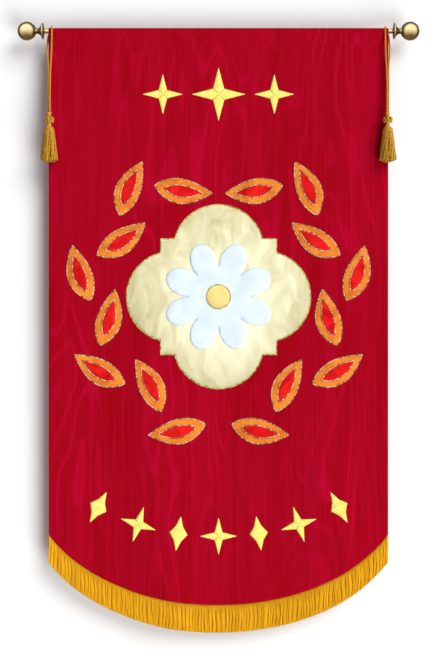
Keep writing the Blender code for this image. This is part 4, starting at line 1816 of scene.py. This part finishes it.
    def hang_skirt(self, shell: Shell, luck: random.Random) -> None:
        """Hangs the skirt's twisted strands in rings, each bunched a little with its neighbours.

        Args:
            shell: What they are added to.
            luck: Where the strands' unevenness comes from.
        """
        section = plied_section(self.skirt_yarn, 2, 3)
        shares = np.linspace(0, 1, 30)
        outer = self.skirt_rows[0][0]
        for row, (radius, count) in enumerate(self.skirt_rows):
            for number in range(count):
                bunch = 0.030 * math.sin(number * 1.9 + row) + luck.uniform(-0.03, 0.03)
                angle = TURN * (number + 0.5 * (row % 2)) / count + bunch
                shoulder = 0.05 * np.sin(math.pi * np.minimum(shares * 5, 1))
                spread = 1 + (self.skirt_flare - 1) * shares**0.92 + shoulder
                flat = 1 - (1 - self.skirt_flatness) * shares
                wave = 0.0005 * np.sin(TURN * shares * 1.6 + luck.uniform(0, TURN)) * shares
                sag = 1 - (math.cos(angle) * radius / outer) ** 2
                foot = self.skirt_foot + self.skirt_belly * sag + luck.uniform(-0.0008, 0.0008)
                across = (radius * spread + wave) * math.cos(angle)
                deep = (radius * spread + wave) * math.sin(angle) * flat
                line = np.stack((across, deep, -between(self.skirt_top - 0.001, foot, shares)), axis=1)
                knotted = np.interp(shares, (0, 0.1, 0.94, 0.98, 1), (0.8, 1, 1.05, 1.15, 0.75))
                size = luck.uniform(0.9, 1.12) * knotted
                clump = 0.16 * math.sin(number * 0.8 + 2.0 * row)
                mottle = 0.32 * np.sin(shares * 10 + 1.3 * number)
                mottle = mottle + 0.26 * np.sin(shares * 23 - 2.1 * number)
                # painted highlight: the skirt's top, where it turns over, is painted lighter; painted shade:
                # each inner row is painted darker
                rim = 0.35 * (1 - eased(shares / 0.14))
                shade = np.clip(luck.gauss(0.60, 0.14) + clump + mottle + rim - 0.06 * row, 0.08, 1.0)
                twist = 0.95 * luck.uniform(0.85, 1.15)
                rings = rings_along(line + self.middle(), section, twist, size)
                # painted shade in the grooves between the plies
                shell.add_loft(rings, np.outer(shade, ply_shade(section, 0.7)))


@dataclass
class BrassWork:
    """The brass rod and its turned ball finials."""

    half_width: float = 0.457
    rod_radius: float = 0.0065
    bare_rod: float = 0.0167
    bevel: float = 0.0005
    sides: int = 72
    rod_sides: int = 48
    rod_rows: int = 40
    ball_rows: int = 40
    ball_out: float = 0.0587
    ball_radius: float = 0.0252
    ball_first: float = math.radians(152)
    # Rows of place, radius and shade; the shade is patina together with painted shade: dark on the collar's
    # inner face, its cone and the neck, light on its rim and on the bead's crown
    profile: tuple[tuple[float, float, float], ...] = (
        (0.0170, 0.0090, 0.0),
        (0.0170, 0.0128, 0.1),
        (0.0166, 0.0136, 0.1),
        (0.0150, 0.0195, 0.1),
        (0.0146, 0.0212, 0.3),
        (0.0148, 0.0219, 0.9),
        (0.0155, 0.0222, 1.0),
        (0.0164, 0.0221, 1.0),
        (0.0175, 0.0213, 1.0),
        (0.0190, 0.0178, 0.8),
        (0.0214, 0.0136, 0.3),
        (0.0235, 0.0108, 0.1),
        (0.0256, 0.0088, 0.15),
        (0.0280, 0.0073, 0.05),
        (0.0299, 0.0067, 0.0),
        (0.0308, 0.0069, 0.1),
        (0.0318, 0.0079, 0.6),
        (0.0329, 0.0084, 0.9),
        (0.0341, 0.0083, 0.7),
        (0.0352, 0.0078, 0.1),
        (0.0359, 0.0083, 0.0),
    )

    def build(self) -> None:
        """Builds the rod and both finials."""
        shell = Shell()
        reach = self.half_width + self.bare_rod
        rows = [(-reach, self.rod_radius - self.bevel), (-reach + self.bevel, self.rod_radius)]
        rows += [(x, self.rod_radius) for x in np.linspace(-reach + 0.01, reach - 0.01, self.rod_rows)]
        rows += [(reach - self.bevel, self.rod_radius), (reach, self.rod_radius - self.bevel)]
        shell.add_loft(self.turn(rows, self.rod_sides), 1.0)
        shell.piece("brass_rod", Finishes.BRASS.value, ["rod"])
        for word, side in SIDES.items():
            places = np.arange(len(self.profile))
            fine = np.linspace(0, len(self.profile) - 1, 3 * len(self.profile) - 2)
            columns = [np.interp(fine, places, [row[part] for row in self.profile]) for part in range(3)]
            rows = list(zip(columns[0], columns[1]))
            shades = list(columns[2])
            for angle in np.linspace(self.ball_first, 0.02, self.ball_rows):
                out = self.ball_out + self.ball_radius * math.cos(angle)
                rows.append((out, self.ball_radius * math.sin(angle)))
                # patina and painted shade: the ball is darker where it meets the neck
                shades.append(min(1.0, (self.ball_first - angle) * 2.2))
            rows = [(side * (self.half_width + out), radius) for out, radius in rows]
            shell = Shell()
            shell.add_loft(self.turn(rows, self.sides), np.array(shades))
            shell.piece(f"ball_finial_{word}", Finishes.BRASS.value, [f"finial_{word}"])

    def turn(self, rows: Sequence[tuple[float, float]], sides: int) -> np.ndarray:
        """Turns rows of place and radius round the rod's axis.

        Args:
            rows: Each row's place along the rod, and its radius.
            sides: How many corners go round.

        Returns:
            Rings, as an array of rows by corners by 3.
        """
        angles = np.arange(sides) * TURN / sides
        places = np.array([row[0] for row in rows])[:, None] * np.ones(sides)
        radii = np.array([row[1] for row in rows])[:, None]
        return np.stack((places, radii * np.cos(angles), radii * np.sin(angles)), axis=2)


@dataclass
class Studio:
    """A white wall close behind the banner, a pale floor, soft lights, and the photograph's camera."""

    wall_behind: float = 0.056
    floor_down: float = 3.40
    middle_down: float = 0.803
    distance: float = 3.4
    frame_height: float = 1.774
    sensor: float = 36.0
    light_right: float = 0.80
    light_up: float = 0.80
    light_width: float = math.radians(40)
    upper_power: float = 2.23
    lower_power: float = 1.88
    world_strength: float = 0.20

    def build(self) -> None:
        """Builds the stage, the lights and the camera."""
        self.build_stage()
        self.build_lights()
        self.build_camera()

    def build_camera(self) -> None:
        """Sets the camera straight in front of the banner's middle."""
        data = bpy.data.cameras.new("photo camera")
        data.sensor_fit = "AUTO"
        data.sensor_width = self.sensor
        data.lens = self.sensor * self.distance / self.frame_height
        camera = bpy.data.objects.new("photo camera", data)
        camera.location = (0.0, -self.distance, -self.middle_down)
        camera.rotation_euler = (TURN / 4, 0, 0)
        bpy.context.scene.collection.objects.link(camera)
        bpy.context.scene.camera = camera

    def build_stage(self) -> None:
        """Builds the wall, which can't be seen from behind, and the floor."""
        wall = self.plane("wall", (0, self.wall_behind, -0.3), (TURN / 4, 0, 0), 8.0, True)
        floor = self.plane("floor", (0, self.wall_behind, -self.floor_down), (0, 0, 0), 8.0, False)
        wall.visible_diffuse = False
        wall.visible_shadow = False
        wall.visible_glossy = False
        floor.visible_shadow = False
        floor.visible_glossy = False

    def plane(
        self,
        name: str,
        place: tuple[float, float, float],
        turn: tuple[float, float, float],
        size: float,
        one_sided: bool,
    ) -> bpy.types.Object:
        """Builds one flat pale surface.

        Args:
            name: The surface's name.
            place: Where its middle is.
            turn: How it is turned.
            size: How wide it is.
            one_sided: Whether it is clear from behind.

        Returns:
            The surface.
        """
        material = bpy.data.materials.new(f"{name} paint")
        material.use_nodes = True
        tree = Tree(material.node_tree)
        shader = material.node_tree.nodes["Principled BSDF"]
        shader.inputs["Base Color"].default_value = (0.93, 0.93, 0.93, 1.0)
        shader.inputs["Roughness"].default_value = 0.9
        shader.inputs["Specular IOR Level"].default_value = 0.0
        if one_sided:
            behind = tree.add("ShaderNodeNewGeometry").outputs["Backfacing"]
            clear = tree.add("ShaderNodeBsdfTransparent").outputs[0]
            mixed = tree.add("ShaderNodeMixShader", {0: behind, 1: shader.outputs[0], 2: clear})
            output = material.node_tree.nodes["Material Output"]
            material.node_tree.links.new(mixed.outputs[0], output.inputs["Surface"])
        mesh = bpy.data.meshes.new(name)
        half = size / 2
        corners = [(-half, -half, 0), (half, -half, 0), (half, half, 0), (-half, half, 0)]
        mesh.from_pydata(corners, [], [(0, 1, 2, 3)])
        mesh.materials.append(material)
        made = bpy.data.objects.new(name, mesh)
        made.location = place
        made.rotation_euler = turn
        bpy.context.scene.collection.objects.link(made)
        return made

    def build_lights(self) -> None:
        """Sets two large soft lights far off at the front right, one high and one low, and a pale world."""
        self.far_light("upper light", (self.light_right, -1.0, self.light_up), self.upper_power)
        self.far_light("lower light", (self.light_right, -1.0, -self.light_up), self.lower_power)
        world = bpy.data.worlds.new("studio")
        world.use_nodes = True
        tree = Tree(world.node_tree)
        way = tree.add("ShaderNodeTexCoord").outputs["Generated"]
        split = tree.add("ShaderNodeSeparateXYZ", {0: way}).outputs
        front = tree.ranged(split["Y"], -0.35, 0.35, 1.0, 0.0)
        lit = tree.mix(front, (2.0, 2.0, 2.0), (1.0, 1.0, 1.0))
        before = tree.ranged(split["Y"], -0.30, 0.10, 1.0, 0.0)
        bright = tree.mix(tree.ranged(split["Z"], -0.40, 0.40), (4.2, 3.6, 2.8), (8.6, 8.4, 8.2))
        mirrored = tree.mix(before, (0.50, 0.40, 0.28), bright)
        mirrored = tree.mix(tree.ranged(split["Z"], -0.85, -0.35, 1.0, 0.0), mirrored, (0.90, 0.62, 0.43))
        mirrored = tree.mix(tree.ranged(split["Y"], 0.75, 0.97), mirrored, (3.2, 3.2, 3.2))
        path = tree.add("ShaderNodeLightPath").outputs
        shown = tree.mix(path["Is Glossy Ray"], lit, mirrored)
        shown = tree.mix(path["Is Camera Ray"], shown, (4.4, 4.4, 4.4))
        background = world.node_tree.nodes["Background"]
        world.node_tree.links.new(shown, background.inputs["Color"])
        background.inputs["Strength"].default_value = self.world_strength
        bpy.context.scene.world = world
        bpy.context.scene.view_settings.view_transform = "Standard"

    def far_light(self, name: str, way: tuple[float, float, float], power: float) -> None:
        """Sets one wide light that is too far off for its distance to matter.

        Args:
            name: The light's name.
            way: Where it shines from, seen from the banner.
            power: Its power in watts for each square metre.
        """
        data = bpy.data.lights.new(name, "SUN")
        data.angle = self.light_width
        data.energy = power
        light = bpy.data.objects.new(name, data)
        light.rotation_euler = Vector(way).to_track_quat("Z", "Y").to_euler()
        light.visible_glossy = False
        bpy.context.scene.collection.objects.link(light)


def main() -> None:
    """Builds the studio and each sub-assembly in order."""
    logging.basicConfig(level=logging.INFO, format="%(message)s")
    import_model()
    Studio().build()
    for word in SIDES:
        TasselledCord(word).build()
    cloth = HangingCloth()
    Panel(cloth).build()
    applique = Applique(cloth)
    Design(applique).build()
    StitchedRows(applique).build()
    Fringe(cloth).build()
    BrassWork().build()
    log.info("both boxes are written")


if __name__ == "__main__":
    main()
